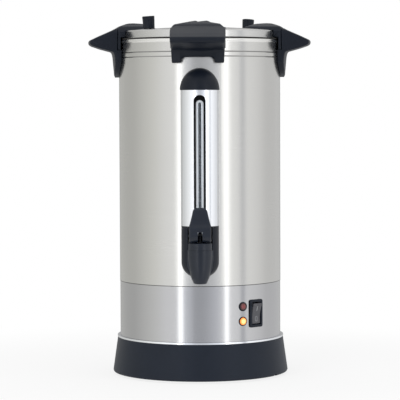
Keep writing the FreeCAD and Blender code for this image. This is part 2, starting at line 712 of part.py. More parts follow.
for spot, (angle, side) in enumerate(handle_screw_spots):
    x, y = on_circle(tank_inside - S.screw_radius, angle + side * handle_screw_angle)
    tank_holes.append(screw_hole("TankHandleHole%d" % spot, S.handle_screw_length, x, y,
                                 S.handle_screw_height, outward(angle + side * handle_screw_angle)))
node(cut("Tank", tank_shell, *tank_holes), "tank")

# Lower skirt with a spigot inside the tank and an inward flange on the trim ring
spigot_outside = tank_inside - S.fit_gap
flange_inside = S.skirt_radius - S.skirt_flange
skirt_shell = turned("SkirtShell", [
    (flange_inside, S.skirt_foot),
    (S.skirt_radius, S.skirt_foot),
    (S.skirt_radius, skirt_top),
    (spigot_outside, skirt_top),
    (spigot_outside, skirt_top + S.spigot_rise),
    (spigot_outside - S.skirt_wall, skirt_top + S.spigot_rise),
    (spigot_outside - S.skirt_wall, skirt_top - S.skirt_wall),
    (skirt_inside, skirt_top - S.skirt_wall),
    (skirt_inside, S.skirt_foot + S.skirt_wall),
    (flange_inside, S.skirt_foot + S.skirt_wall),
])
switch_body_width = S.bezel_width - 2 * S.bezel_rim
switch_body_length = S.bezel_length - 2 * S.bezel_rim
socket_outside_width = S.socket_width + 2 * S.socket_wall
socket_outside_length = S.socket_length + 2 * S.socket_wall
skirt_holes = [
    carried("SwitchWindow", S.switch_angle,
            block("SwitchWindowCut", switch_body_width + 2 * S.fit_gap, S.skirt_radius * 0.4,
                  switch_body_length + 2 * S.fit_gap, 0, -S.skirt_radius,
                  S.switch_height - switch_body_length / 2 - S.fit_gap)),
    carried("LampHoles", S.lamp_angle,
            cylinder("RedLampHole", S.lens_radius + 2 * S.fit_gap, S.skirt_radius * 1.2,
                     0, 0, S.red_lamp_height, FORWARD),
            cylinder("AmberLampHole", S.lens_radius + 2 * S.fit_gap, S.skirt_radius * 1.2,
                     0, 0, S.amber_lamp_height, FORWARD)),
    block("InletWindow", socket_outside_width + 2 * S.fit_gap, S.skirt_radius * 0.4,
          socket_outside_length + 2 * S.fit_gap, 0, S.skirt_radius,
          S.inlet_height - socket_outside_length / 2 - S.fit_gap),
]
inlet_screw_heights = [S.inlet_height + side * S.inlet_screw_pitch / 2 for side in (1, -1)]
for spot, height in enumerate(inlet_screw_heights):
    skirt_holes.append(screw_hole("SkirtInletHole%d" % spot, S.tank_radius * 2, 0, 0, height, BACKWARD))
for spot, angle in enumerate(post_angles):
    x, y = on_circle(S.boss_circle, angle)
    skirt_holes.append(screw_hole("SkirtPostHole%d" % spot, S.skirt_wall * 4, x, y,
                                  S.skirt_foot - S.skirt_wall, Rotation()))
node(cut("Skirt", skirt_shell, *skirt_holes), "lower_skirt")

# Bright trim ring between the skirt and the base
trim_shell = turned("TrimShell", ring(flange_inside, S.base_top, S.trim_radius, trim_top))
trim_holes = []
for spot, angle in enumerate(post_angles):
    x, y = on_circle(S.boss_circle, angle)
    trim_holes.append(screw_hole("TrimHole%d" % spot, S.trim_sheet * 2, x, y, S.base_top - S.trim_sheet / 2,
                                  Rotation()))
node(cut("Trim", trim_shell, *trim_holes), "trim_ring")

# Base ring: a flared shell with a deck under the trim ring and four screw posts
base_shell = turned("BaseShell", [
    (S.base_low_radius - S.base_wall, S.base_lift),
    (S.base_low_radius - S.base_round, S.base_lift),
    (S.base_low_radius, S.base_lift + S.base_round, S.base_round, 1),
    (S.base_top_radius, S.base_top),
    (S.deck_hole_radius, S.base_top),
    (S.deck_hole_radius, deck_under),
    (S.base_top_radius - S.base_wall, deck_under),
    (S.base_low_radius - S.base_wall, plate_top + S.base_round),
])
post_holes = []
posts = []
for spot, angle in enumerate(post_angles):
    x, y = on_circle(S.boss_circle, angle)
    posts.append(cylinder("Post%d" % spot, S.boss_radius, deck_under - plate_top - S.fit_gap, x, y,
                          plate_top + S.fit_gap, Rotation()))
    post_holes.append(screw_hole("PostHole%d" % spot, S.base_top, x, y, S.base_lift, Rotation()))
for spot, angle in enumerate(rod_angles):
    x, y = on_circle(S.rod_circle, angle)
    post_holes.append(cylinder("DeckRodHole%d" % spot, S.rod_radius + S.fit_gap, S.base_top, x, y,
                               S.base_lift, Rotation()))
for spot, angle in enumerate((FRONT + S.notch_right.value, FRONT - S.notch_left.value)):
    post_holes.append(cylinder("Notch%d" % spot, S.notch_width / 2, S.base_low_radius * 2, 0, 0,
                               S.base_lift + S.notch_height - S.notch_width / 2, outward(angle)))
base_body = fused("BaseBody", base_shell, *posts)
node(cut("Base", base_body, *post_holes), "base_ring")

# Bottom plate with vents, the feet's sockets and the screws' holes
plate_shell = turned("PlateShell", [(0, S.plate_lift), (S.plate_radius, S.plate_lift),
                                    (S.plate_radius, plate_top), (0, plate_top)])
plate_holes = []
for spot, angle in enumerate(post_angles):
    x, y = on_circle(S.boss_circle, angle)
    plate_holes.append(screw_hole("PlateHole%d" % spot, S.plate_sheet * 3, x, y, S.base_lift, Rotation()))
for spot, angle in enumerate(foot_angles):
    x, y = on_circle(S.foot_circle, angle)
    plate_holes.append(cylinder("FootHole%d" % spot, S.foot_stem + S.running_gap, S.plate_sheet * 3, x, y,
                                S.base_lift, Rotation()))
VENT_ROWS = (-2, -1, 0, 1, 2)
for spot, row in enumerate(VENT_ROWS):
    plate_holes.append(block("Vent%d" % spot, S.foot_circle * 0.6, S.foot_stem, S.plate_sheet * 3, 0,
                             row * S.foot_stem * 2.5, S.base_lift))
node(cut("Plate", plate_shell, *plate_holes), "bottom_plate")

# Rubber feet with a stem and a barb through the bottom plate
foot_outline = [
    (0, 0),
    (S.foot_radius - S.small_round, 0),
    (S.foot_radius, S.plate_lift - S.running_gap),
    (S.foot_stem, S.plate_lift - S.running_gap),
    (S.foot_stem, plate_top + S.running_gap),
    (S.foot_stem * 1.3, plate_top + S.running_gap),
    (S.foot_stem * 0.7, plate_top + S.foot_stem),
    (0, plate_top + S.foot_stem),
]
feet = []
for spot, angle in enumerate(foot_angles):
    x, y = on_circle(S.foot_circle, angle)
    feet.append(place(turned("Foot%d" % spot, foot_outline), x, y, 0))
group("rubber_feet", feet)

# Base screws: up through the plate, the posts, the trim ring and the skirt's flange
base_screw_length = S.skirt_foot + S.skirt_wall + 2 * S.fit_gap - S.plate_lift
base_screws = []
base_nuts = []
for spot, angle in enumerate(post_angles):
    x, y = on_circle(S.boss_circle, angle)
    base_screws.append(screw("BaseScrew%d" % spot, base_screw_length + S.nut_height, x, y, S.plate_lift,
                             Rotation()))
group("base_screws", base_screws)


def hexagon_nut(name, across, bore, height, x, y, z, turn=Rotation()):
    """A hexagon nut, across its corners, with a plain bore."""
    prism = doc.addObject("Part::Prism", name + "Prism")
    prism.Polygon = 6
    prism.Circumradius = number(across / 2)
    tie(prism, "Circumradius", across / 2)
    prism.Height = number(height)
    tie(prism, "Height", height)
    drilled = cut(name, prism, cylinder(name + "Bore", bore, height * 3, 0, 0, -height))
    return place(drilled, x, y, z, turn)


for spot, angle in enumerate(post_angles):
    x, y = on_circle(S.boss_circle, angle)
    base_nuts.append(hexagon_nut("BaseNut%d" % spot, S.nut_across, S.screw_radius + S.running_gap,
                                 S.nut_height, x, y, S.skirt_foot + S.skirt_wall + S.running_gap))
group("base_nuts", base_nuts)

# Tie rods from the tank floor down through the deck, with their nuts
rod_low = deck_under - S.nut_height - S.rod_radius
rods = []
rod_nuts = []
for spot, angle in enumerate(rod_angles):
    x, y = on_circle(S.rod_circle, angle)
    rods.append(cylinder("Rod%d" % spot, S.rod_radius, floor_under - rod_low, x, y, rod_low))
    rod_nuts.append(hexagon_nut("RodNut%d" % spot, S.nut_across, S.rod_radius + S.running_gap,
                                S.nut_height, x, y, deck_under - S.nut_height - S.running_gap))
group("tie_rods", rods)
group("tie_rod_nuts", rod_nuts)

# Heat shield on the skirt's upper shoulder
shield_shell = turned("ShieldShell", ring(S.shield_hole, S.shield_height, skirt_inside - S.fit_gap,
                                          S.shield_height + S.shield_sheet))
shield_holes = []
for spot, angle in enumerate(rod_angles):
    x, y = on_circle(S.rod_circle, angle)
    shield_holes.append(cylinder("ShieldHole%d" % spot, S.rod_radius + S.fit_gap, S.shield_sheet * 5, x, y,
                                 S.shield_height - 2 * S.shield_sheet))
node(cut("Shield", shield_shell, *shield_holes), "heat_shield")


def ring_heater(name, circle, tube):
    """A tubular ring under the tank floor with two cold legs that point down at the rear."""
    coil = doc.addObject("Part::Torus", name + "Coil")
    coil.Radius1 = number(circle)
    coil.Radius2 = number(tube)
    tie(coil, "Radius1", circle)
    tie(coil, "Radius2", tube)
    height = floor_under - tube - S.fit_gap
    place(coil, 0, 0, height)
    legs = [cylinder("%sLeg%d" % (name, side + 1), tube * 0.7, tube * 5, side * tube * 3, circle,
                     height - tube * 5) for side in (1, -1)]
    return node(fused(name, coil, *legs), name)


ring_heater("main_heater", S.heater_circle, S.heater_tube)
ring_heater("keep_warm_heater", S.keeper_circle, S.keeper_tube)

# Disc thermostat under the well, and the cut-out beside it, both against the steel
thermostat_outline = [
    (0, well_under - S.fit_gap),
    (S.thermostat_radius, well_under - S.fit_gap),
    (S.thermostat_radius, well_under - S.thermostat_height * 0.4),
    (S.thermostat_radius * 0.8, well_under - S.thermostat_height * 0.4),
    (S.thermostat_radius * 0.8, well_under - S.thermostat_height),
    (0, well_under - S.thermostat_height),
]
node(place(turned("Thermostat", thermostat_outline), -S.thermostat_radius - S.thermostat_offset, 0, 0),
     "thermostat")
cutout_outline = [
    (0, well_under - S.fit_gap),
    (S.cutout_radius, well_under - S.fit_gap),
    (S.cutout_radius, well_under - S.cutout_height * 0.5),
    (S.cutout_radius * 0.7, well_under - S.cutout_height * 0.5),
    (S.cutout_radius * 0.7, well_under - S.cutout_height),
    (0, well_under - S.cutout_height),
]
node(place(turned("CutOut", cutout_outline), S.cutout_radius + S.cutout_offset, 0, 0), "thermal_cutout")

# Terminal block on the bottom plate, with one screw well for each wire
block_reach = S.deck_hole_radius * 0.7
block_shell = block("BlockShell", S.block_length, S.block_width, S.block_height, 0, block_reach,
                    plate_top + S.fit_gap)
WELL_COLUMNS = (-1, 0, 1)
WELL_ROWS = (-1, 1)
wells = []
for column in WELL_COLUMNS:
    for row in WELL_ROWS:
        wells.append(cylinder("Well%d%d" % (column + 1, row + 1), S.block_width * 0.13, S.block_height,
                              column * S.block_length * 0.31,
                              block_reach + row * S.block_width * 0.25,
                              plate_top + S.block_height * 0.5))
node(cut("Block", block_shell, *wells), "terminal_block")

# Rocker switch, made as if it faced the front and turned to its place afterwards
bezel_back = -S.skirt_radius - S.fit_gap
switch_low = S.switch_height - S.bezel_length / 2
bezel_plate = padded("BezelPlate", "XZ_Plane",
                     rounded_rectangle(-S.bezel_width / 2, switch_low, S.bezel_width / 2,
                                       switch_low + S.bezel_length, S.bezel_rim),
                     S.bezel_sheet, -bezel_back)
switch_body = block("SwitchBody", switch_body_width, S.switch_depth,
                    switch_body_length, 0, bezel_back + S.switch_depth / 2,
                    S.switch_height - switch_body_length / 2)
rocker_room_width = switch_body_width - 2 * S.bezel_rim * 0.6
rocker_room_length = switch_body_length - 2 * S.bezel_rim * 0.6
rocker_room_depth = S.switch_depth * 0.5
switch_room = block("SwitchRoom", rocker_room_width, rocker_room_depth + S.bezel_sheet * 4,
                    rocker_room_length, 0, bezel_back + rocker_room_depth / 2 - S.bezel_sheet * 2,
                    S.switch_height - rocker_room_length / 2)
housing = cut("SwitchHousing", fused("SwitchShell", bezel_plate, switch_body), switch_room)
node(about_axis(housing, S.switch_angle), "switch_housing")

# The rocker: a low V in front, a round keel behind, tilted with its upper end out
rocker_width = rocker_room_width - 2 * S.rocker_gap
rocker_half = rocker_room_length / 2 - 2 * S.rocker_gap
rocker_pivot = bezel_back + S.bezel_sheet
rocker_front = S.bezel_sheet * 2.4
rocker_keel = rocker_room_depth * 0.55
rocker_shape = padded("RockerShape", "YZ_Plane", [
    (-rocker_front, -rocker_half),
    (-rocker_front * 0.55, 0),
    (-rocker_front, rocker_half),
    (0, rocker_half),
    (rocker_keel, rocker_half * 0.3),
    (rocker_keel, -rocker_half * 0.3),
    (0, -rocker_half),
], rocker_width, -rocker_width / 2)
rocker_tilt = Rotation(Vector(1, 0, 0), number(S.rocker_tilt))
place(rocker_shape, 0, rocker_pivot, S.switch_height, rocker_tilt)
rocker = carried("Rocker", S.switch_angle, rocker_shape)
node(rocker, "rocker")

# Indicator lamps: a dark bezel with a barrel behind the skirt, and a domed lens
lamp_bezels = []
for lamp, height in (("red", S.red_lamp_height), ("amber", S.amber_lamp_height)):
    bezel_outline = [
        (S.lens_radius + S.running_gap - S.lens_grip, -S.lamp_depth),
        (S.lens_radius + S.running_gap, -S.lamp_depth),
        (S.lens_radius + S.running_gap, S.fit_gap),
        (S.lamp_radius, S.fit_gap),
        (S.lamp_radius, S.fit_gap + S.small_round),
        (S.lens_radius, S.fit_gap + S.lamp_rise),
        (S.lens_radius - S.lens_grip, S.fit_gap + S.small_round),
    ]
    bezel = place(turned(lamp.capitalize() + "Bezel", bezel_outline), 0, -S.skirt_radius, height, FORWARD)
    lamp_bezels.append(carried(lamp.capitalize() + "BezelTurned", S.lamp_angle, bezel))
    lens_inner = S.lens_radius - S.lens_grip - S.running_gap
    lens_round = (lens_inner * lens_inner + S.lens_dome * S.lens_dome) / (2 * S.lens_dome)
    lens_outline = [
        (0, -S.lamp_depth * 0.3),
        (lens_inner, -S.lamp_depth * 0.3),
        (lens_inner, S.fit_gap),
        (0, S.fit_gap + S.lens_dome, lens_round, 1),
    ]
    lens = place(turned(lamp.capitalize() + "Lens", lens_outline), 0, -S.skirt_radius, height, FORWARD)
    node(carried(lamp.capitalize() + "LensTurned", S.lamp_angle, lens), lamp + "_lamp_lens")
group("lamp_bezels", lamp_bezels)

# Power inlet at the rear with three pins and two screws
inlet_front = S.skirt_radius + S.fit_gap
inlet_low = S.inlet_height - S.inlet_length / 2
inlet_plate = padded("InletPlate", "XZ_Plane",
                     rounded_rectangle(-S.inlet_width / 2, inlet_low, S.inlet_width / 2,
                                       inlet_low + S.inlet_length, S.inlet_width * 0.2),
                     S.inlet_sheet, -inlet_front - S.inlet_sheet)
inlet_cup = block("InletCup", socket_outside_width, S.socket_depth, socket_outside_length, 0,
                  inlet_front - S.socket_depth / 2 + S.inlet_sheet / 2,
                  S.inlet_height - socket_outside_length / 2)
inlet_room = block("InletRoom", S.socket_width, S.socket_depth, S.socket_length, 0,
                   inlet_front + S.inlet_sheet - S.socket_depth / 2 + S.socket_wall,
                   S.inlet_height - S.socket_length / 2)
inlet_holes = [screw_hole("InletHole%d" % spot, S.tank_radius * 2, 0, 0, height, BACKWARD)
               for spot, height in enumerate(inlet_screw_heights)]
PIN_SIDES = ((1, 1), (1, -1), (-0.55, 0))
pin_length = S.socket_depth * 1.1
pin_middle = inlet_front - S.socket_depth * 0.7
pins = []
for spot, (across, up) in enumerate(PIN_SIDES):
    x = S.pin_across * across
    z = S.inlet_height + S.pin_apart * up - S.pin_height / 2
    pins.append(block("Pin%d" % spot, S.pin_width, pin_length, S.pin_height, x, pin_middle, z))
    inlet_holes.append(block("PinHole%d" % spot, S.pin_width + 2 * S.pin_gap, pin_length + 2 * S.pin_gap,
                             S.pin_height + 2 * S.pin_gap, x, pin_middle, z - S.pin_gap))
inlet_shell = cut("InletHollow", fused("InletShell", inlet_plate, inlet_cup), inlet_room)
node(cut("Inlet", inlet_shell, *inlet_holes), "power_inlet")
group("inlet_pins", pins)
inlet_screws = [screw("InletScrew%d" % spot, S.inlet_sheet * 3, 0, inlet_front + S.inlet_sheet, height,
                      FORWARD)
                for spot, height in enumerate(inlet_screw_heights)]
group("inlet_screws", inlet_screws)


# Handles. Each is drawn facing +X as a side profile and a front view, and is what both share
def handle_blank(name, end_height, arched):
    """The wing and the leg: the side profile turned about the tank's axis, trimmed to the front view."""
    half = S.handle_width / 2
    half_foot = S.handle_foot_width / 2
    cut_line = end_height - S.seat_gap
    side_in = S.tank_radius * 0.7
    tip = S.wing_tip_radius
    profile = turned(name + "Side", [
        (side_in, cut_line),
        (S.leg_foot_reach - S.leg_corner, cut_line),
        (S.leg_foot_reach, end_height + S.leg_corner * 1.6, S.leg_corner * 2.4, 1),
        (S.leg_reach, S.wing_under - S.wing_root * 1.7),
        (S.leg_reach + S.wing_root, S.wing_under, S.wing_root * 1.7, -1),
        (S.leg_reach + S.wing_belly, S.wing_under + S.belly_rise),
        (S.wing_reach - tip * 0.55, S.wing_tip_height - tip * 0.95),
        (S.wing_reach - tip * 0.66, S.wing_tip_height + tip * 0.95, tip, 1),
        (S.wing_reach - S.wing_knee, S.wing_tip_height + S.knee_rise),
        (S.handle_part + S.wing_crown, S.handle_top - S.crown_fall),
        (S.handle_part, S.handle_top),
        (S.handle_part, S.clip_foot - S.seat_gap),
        (side_in, S.clip_foot - S.seat_gap),
    ])
    corner = S.handle_corner
    top = [
        (half, S.handle_top - corner),
        (half - corner, S.handle_top + corner * 0.2, corner * 1.4, 1),
        (-half + corner, S.handle_top + corner * 0.2),
        (-half, S.handle_top - corner, corner * 1.4, 1),
    ]
    if arched:
        arch = S.front_arch_width / 2
        rise = S.front_arch_height - end_height
        bottom = [
            (-half_foot, end_height),
            (-arch, end_height),
            (-arch + rise, S.front_arch_height, rise * 1.4, -1),
            (arch - rise, S.front_arch_height),
            (arch, end_height, rise * 1.4, -1),
            (half_foot, end_height),
        ]
    else:
        bottom = [
            (-half_foot, S.handle_foot_height),
            (half_foot, S.handle_foot_height, S.handle_foot_width * 0.57, 1),
        ]
    view = padded(name + "View", "YZ_Plane", bottom + top, S.wing_reach)
    return common(name + "Blank", profile, view)


for handle, angle in HANDLE_ANGLES.items():
    is_front = handle == "front_bracket"
    blank = handle_blank(handle, S.front_leg_height if is_front else S.handle_end_height, is_front)
    tools = [cylinder(handle + "Seat", S.tank_radius + S.fit_gap, S.tank_top * 2, 0, 0, 0)]
    for side in (1, -1):
        tools.append(cylinder("%sScrewHole%d" % (handle, side + 1), S.screw_radius + S.running_gap,
                              S.tank_radius + S.handle_screw_length + S.fit_gap, 0, 0,
                              S.handle_screw_height, outward(side * handle_screw_angle)))
    node(about_axis(cut(handle + "Shape", blank, *tools), angle), handle)

head_seat = tank_inside - S.fit_gap
handle_screws = []
for spot, (angle, side) in enumerate(handle_screw_spots):
    x, y = on_circle(head_seat, angle + side * handle_screw_angle)
    handle_screws.append(screw("HandleScrew%d" % spot, S.handle_screw_length + S.tank_wall + S.fit_gap, x, y,
                               S.handle_screw_height, outward(angle + side * handle_screw_angle)))
group("handle_screws", handle_screws)

# Lid: one pressed shell with a domed top, a lip over the gasket and a plug inside the rim
lip_top = gasket_top + S.lid_sheet
plug_low = S.tank_top - S.lid_plug_depth
lid_inside = S.lid_radius - S.lid_sheet
lid_shell = turned("LidShell", [
    (0, lid_top - S.lid_sheet, lid_dome, 1),
    (0, lid_top),
    (lid_crown, S.lid_edge, lid_dome, -1),
    (S.lid_radius, S.lid_edge - S.lid_corner, S.lid_corner, -1),
    (S.lid_radius, lip_top),
    (S.lid_lip_radius, lip_top),
    (S.lid_lip_radius, gasket_top),
    (S.lid_radius, gasket_top),
    (S.lid_radius, plug_low),
    (lid_inside, plug_low),
    (lid_inside, S.lid_edge - S.lid_corner),
    (lid_crown - S.lid_sheet * 0.5, S.lid_edge - S.lid_sheet),
])


def dome_height(radius):
    """The height of the lid's outer face at a radius."""
    return lid_top - radius * radius / (2 * lid_dome)


KNOB_ANGLES = {"near_lid_knob": 180, "far_lid_knob": 0}
knob_lean = number(S.knob_lean)
lean_out = math.sin(math.radians(knob_lean))
lean_up = math.cos(math.radians(knob_lean))


def along_knob(direction, distance):
    """A point of a knob's leaning axis, at a distance above the lid's outer face."""
    x, y = on_circle(S.knob_circle + distance * lean_out, direction)
    return x, y, dome_height(S.knob_circle) + distance * lean_up


lid_holes = []
knob_turns = {}
for spot, (knob, start) in enumerate(KNOB_ANGLES.items()):
    direction = start + number(S.knob_angle)
    lean = Rotation(Vector(0, 0, 1), direction) * Rotation(Vector(0, 1, 0), knob_lean)
    knob_turns[knob] = (direction, lean)
    lid_holes.append(screw_hole("KnobHole%d" % spot, S.lid_plug_depth * 2,
                                *along_knob(direction, -S.lid_plug_depth), lean))
rivet_spots = []
for angle in HANDLE_ANGLES.values():
    for side in (1, -1):
        around = angle + side * math.degrees(math.atan2(number(S.clip_rivet_offset),
                                                        number(S.clip_rivet_circle)))
        rivet_spots.append(around)
rivet_reach = S.clip_rivet_circle * 1.03
for spot, around in enumerate(rivet_spots):
    x, y = on_circle(rivet_reach, around)
    lid_holes.append(screw_hole("RivetHole%d" % spot, S.lid_plug_depth * 2, x, y,
                                lid_top - S.lid_plug_depth * 2, Rotation()))
node(cut("Lid", lid_shell, *lid_holes), "lid")

gasket_outline = ring(S.lid_radius + S.running_gap, gasket_low, S.gasket_radius, gasket_top - S.running_gap)
node(turned("Gasket", gasket_outline), "lid_gasket")

# Lid clips: an arched hook over the lid's edge, one inside each handle
lid_envelope_gap = S.fit_gap
clip_envelope_outline = [
    (0, S.clip_foot - S.clip_drop),
    (S.tank_radius + S.clip_room, S.clip_foot - S.clip_drop),
    (S.tank_radius + S.clip_room, lip_top + S.seat_gap),
    (S.lid_radius + lid_envelope_gap, lip_top + S.seat_gap),
    (S.lid_radius + lid_envelope_gap, S.lid_edge - S.lid_corner + lid_envelope_gap),
    (lid_crown, S.lid_edge + lid_envelope_gap, S.lid_corner + lid_envelope_gap, 1),
    (0, lid_top + lid_envelope_gap, lid_dome, 1),
]
rivet_seat = dome_height(rivet_reach + S.screw_head_radius) - S.lid_sheet - S.fit_gap
rivet_length = S.lid_sheet + S.rivet_grip
rivets = []
for clip, angle in (("right", 0), ("rear", 90), ("left", 180), ("front", FRONT_GRIP)):
    name = clip + "_lid_clip"
    half = S.handle_width / 2
    side_profile = turned(name + "Side", [
        (S.clip_inside, S.lid_edge - S.clip_nose),
        (S.clip_inside, S.clip_top - S.clip_nose_rise - S.hump_fall),
        (S.clip_inside + S.clip_nose, S.clip_top - S.hump_fall),
        (S.clip_crest, S.clip_top),
        (S.clip_crest + S.clip_back_run, S.clip_top - S.clip_back_fall),
        (S.clip_outside - S.clip_shoulder, S.clip_top - S.clip_back_fall - S.clip_nose_rise),
        (S.clip_outside, S.clip_top - S.clip_back_fall - S.clip_nose_rise - S.clip_shoulder_fall),
        (S.clip_outside, S.clip_foot),
        (S.lid_lip_radius - S.clip_nose, S.clip_foot),
    ])
    clip_low = S.clip_foot - S.seat_gap
    shoulder = S.clip_top - S.hump_fall * 2
    front_view = padded(name + "View", "YZ_Plane", [
        (-half + S.seat_gap, clip_low),
        (half - S.seat_gap, clip_low),
        (half, S.clip_top - S.clip_side),
        (half - S.clip_corner, shoulder, S.handle_corner, 1),
        (S.right_hump_foot, S.clip_top - S.hump_fall),
        (S.right_hump, S.clip_top),
        (S.hump_dip / 2, S.clip_top - S.hump_dip / 2),
        (-S.hump_dip / 4, S.clip_top - S.hump_dip),
        (-S.left_hump, S.clip_top),
        (-S.left_hump_foot, S.clip_top - S.hump_fall),
        (-half + S.clip_corner, shoulder - S.clip_back_fall),
        (-half, S.clip_top - S.clip_side, S.handle_corner, 1),
    ], S.wing_reach)
    envelope = turned(name + "Envelope", clip_envelope_outline)
    hook = cut(name + "Shape", common(name + "Blank", side_profile, front_view), envelope)
    for_rivets = []
    for side in (1, -1):
        around = side * math.degrees(math.atan2(number(S.clip_rivet_offset), number(S.clip_rivet_circle)))
        x, y = on_circle(rivet_reach, around)
        for_rivets.append(screw_hole("%sRivetHole%d" % (name, side + 1), S.clip_top - S.lid_edge, x, y,
                                     S.lid_edge - S.lid_plug_depth * 0.6, Rotation()))
        x, y = on_circle(rivet_reach, angle + around)
        rivets.append(screw("%sScrew%d" % (name, side + 1), rivet_length, x, y,
                            rivet_seat, Rotation()))
    node(about_axis(cut(name, hook, *for_rivets), angle), name)
group("lid_clip_screws", rivets)

# Lid knobs: fluted grips that turn on a screw from inside the lid
knob_screws = []
for knob, (direction, lean) in knob_turns.items():
    grip = turned(knob + "Grip", [
        (S.screw_radius + S.running_gap, S.seat_gap),
        (S.knob_foot_radius - S.knob_foot_round, S.seat_gap),
        (S.knob_foot_radius, S.seat_gap + S.knob_foot_round, S.knob_foot_round, 1),
        (S.knob_radius, S.knob_height - S.knob_round),
        (S.knob_radius - S.knob_round, S.knob_height, S.knob_round, 1),
        (0, S.knob_height),
        (0, S.knob_height * 0.6),
        (S.screw_radius + S.running_gap, S.knob_height * 0.6),
    ])
    flutes = []
    for turn_index in range(int(number(S.knob_flutes))):
        fx, fy = on_circle(S.knob_radius + S.flute_radius * 0.4, 360 * turn_index / number(S.knob_flutes))
        flutes.append(cylinder("%sFlute%d" % (knob, turn_index), S.flute_radius, S.knob_height, fx, fy,
                               S.knob_foot_radius * 0.4))
    shape = cut(knob + "Shape", grip, bundled(knob + "Flutes", flutes))
    node(place(shape, *along_knob(direction, 0), lean), knob)
    knob_screws.append(screw(knob + "Screw", S.knob_height * 0.55 + S.lid_sheet,
                             *along_knob(direction, -S.lid_sheet - S.fit_gap), lean))
group("lid_knob_screws", knob_screws)

# Sight gauge: a half round cover with a window, a cap at each end and a dark channel behind it
def half_round(name, radius, inner, low, high):
    """An upright tube about the gauge's centre line; a piece keeps what lies outside the tank."""
    return place(turned(name, ring(inner, low, radius, high)), 0, -S.gauge_centre, 0)


def outside_tank(name, piece, gap):
    """What is left of a piece in front of the tank's wall."""
    return cut(name, piece, cylinder(name + "Tank", S.tank_radius + gap, S.tank_top * 2, 0, 0, 0))


cover_inside = S.gauge_radius - S.gauge_sheet
cover_tube = half_round("CoverTube", S.gauge_radius, cover_inside, S.gauge_low, S.gauge_high)
slot_half = S.slot_width / 2
window = padded("Window", "XZ_Plane", [
    (-slot_half, S.slot_low),
    (slot_half, S.slot_low),
    (slot_half, S.slot_high - slot_half),
    (0, S.slot_high, slot_half, 1),
    (-slot_half, S.slot_high - slot_half, slot_half, 1),
], S.gauge_radius * 1.5, S.gauge_centre)
node(outside_tank("Cover", cut("CoverSlotted", cover_tube, window), S.fit_gap), "gauge_cover")

cap_radius = S.gauge_radius + S.cap_lap
cap_foot = S.gauge_high + S.fit_gap
cap_rise = S.gauge_cap_top - cap_foot
cap_screw_post = S.screw_radius * 2
SHARE = math.cos(math.radians(45))


def oval(radius, rise):
    """A quarter of an ellipse as two arcs that meet at 45 degrees: the radius of the one at the side
    and of the one at the top, whose centre is on the axis."""
    flat = radius * (1 - SHARE)
    steep = rise * SHARE
    drop = rise * (1 - SHARE)
    side_round = (flat * flat + steep * steep) / (2 * flat)
    top_round = (radius * radius * SHARE * SHARE + drop * drop) / (2 * drop)
    return side_round, top_round


def dome_outline(radius, low, rise, wall):
    """A quarter ellipse shell about the upright axis, open below."""
    inner = radius - wall
    inner_rise = rise - wall
    side_round, top_round = oval(radius, rise)
    inner_side, inner_top = oval(inner, inner_rise)
    return [
        (inner, low, inner_side, -1),
        (radius, low),
        (radius * SHARE, low + rise * SHARE, side_round, 1),
        (0, low + rise, top_round, 1),
        (0, low + inner_rise),
        (inner * SHARE, low + inner_rise * SHARE, inner_top, -1),
    ]


cap_dome = place(turned("CapDome", dome_outline(cap_radius, cap_foot, cap_rise, S.cap_wall)),
                 0, -S.gauge_centre, 0)
cap_post = cylinder("CapPost", cap_screw_post, S.gauge_radius * 0.75, 0, -S.gauge_centre, gauge_screw_height,
                    FORWARD)
cap_drill = cylinder("CapDrill", S.screw_radius + S.running_gap, S.gauge_radius * 0.6, 0, -S.gauge_centre,
                     gauge_screw_height, FORWARD)
cap_solid = cut("CapDrilled", fused("CapSolid", cap_dome, cap_post), cap_drill)
node(outside_tank("Cap", cap_solid, S.fit_gap), "gauge_top_cap")
gauge_screw_length = S.gauge_radius * 0.5
node(screw("GaugeScrew", gauge_screw_length, 0, -head_seat, gauge_screw_height, FORWARD), "gauge_screw")

# Dark channel behind the window
channel_half = S.riser_width / 2 + S.channel_wall * 1.4
channel_top = S.gauge_high
channel_low = S.riser_top + S.seat_gap
channel_front = S.gauge_centre + cover_inside * 0.9
channel_outer = padded("ChannelOuter", "XY_Plane", [
    (-channel_half, -channel_front),
    (channel_half, -channel_front),
    (channel_half, -S.channel_back),
    (-channel_half, -S.channel_back),
], channel_top - channel_low, channel_low)
channel_room = block("ChannelRoom", 2 * (channel_half - S.channel_wall), S.gauge_radius * 2,
                     S.tank_top, 0, -S.channel_back - S.channel_wall - S.gauge_radius, 0)
riser_front = S.tube_reach + S.tube_radius + S.tube_wall + S.riser_lip
hub_room = block("HubRoom", S.gauge_radius * 2, S.gauge_radius, S.gauge_low - channel_low + S.cap_wall, 0,
                 -riser_front - S.seat_gap - S.gauge_radius / 2, channel_low - S.cap_wall / 2)
node(cut("Channel", channel_outer, channel_room, hub_room), "gauge_channel")

# Sight tube: open below, a round top with a small vent
tube_inside = S.tube_radius - S.tube_wall
tube_shell = place(turned("TubeShell", [
    (tube_inside, S.tube_foot),
    (S.tube_radius, S.tube_foot),
    (S.tube_radius, S.tube_top - S.tube_radius),
    (S.vent_radius, S.tube_top, S.tube_radius, 1),
    (S.vent_radius, S.tube_top - S.tube_wall),
    (tube_inside, S.tube_top - S.tube_radius, tube_inside, -1),
]), 0, -S.tube_reach, 0)
node(tube_shell, "sight_tube")
seal_rise = S.tube_radius * 0.6
node(place(turned("TubeSeal", ring(S.tube_radius + S.running_gap, S.riser_top - seal_rise,
                                   S.tube_radius + S.tube_wall, S.riser_top)), 0, -S.tube_reach, 0),
     "sight_tube_seal")

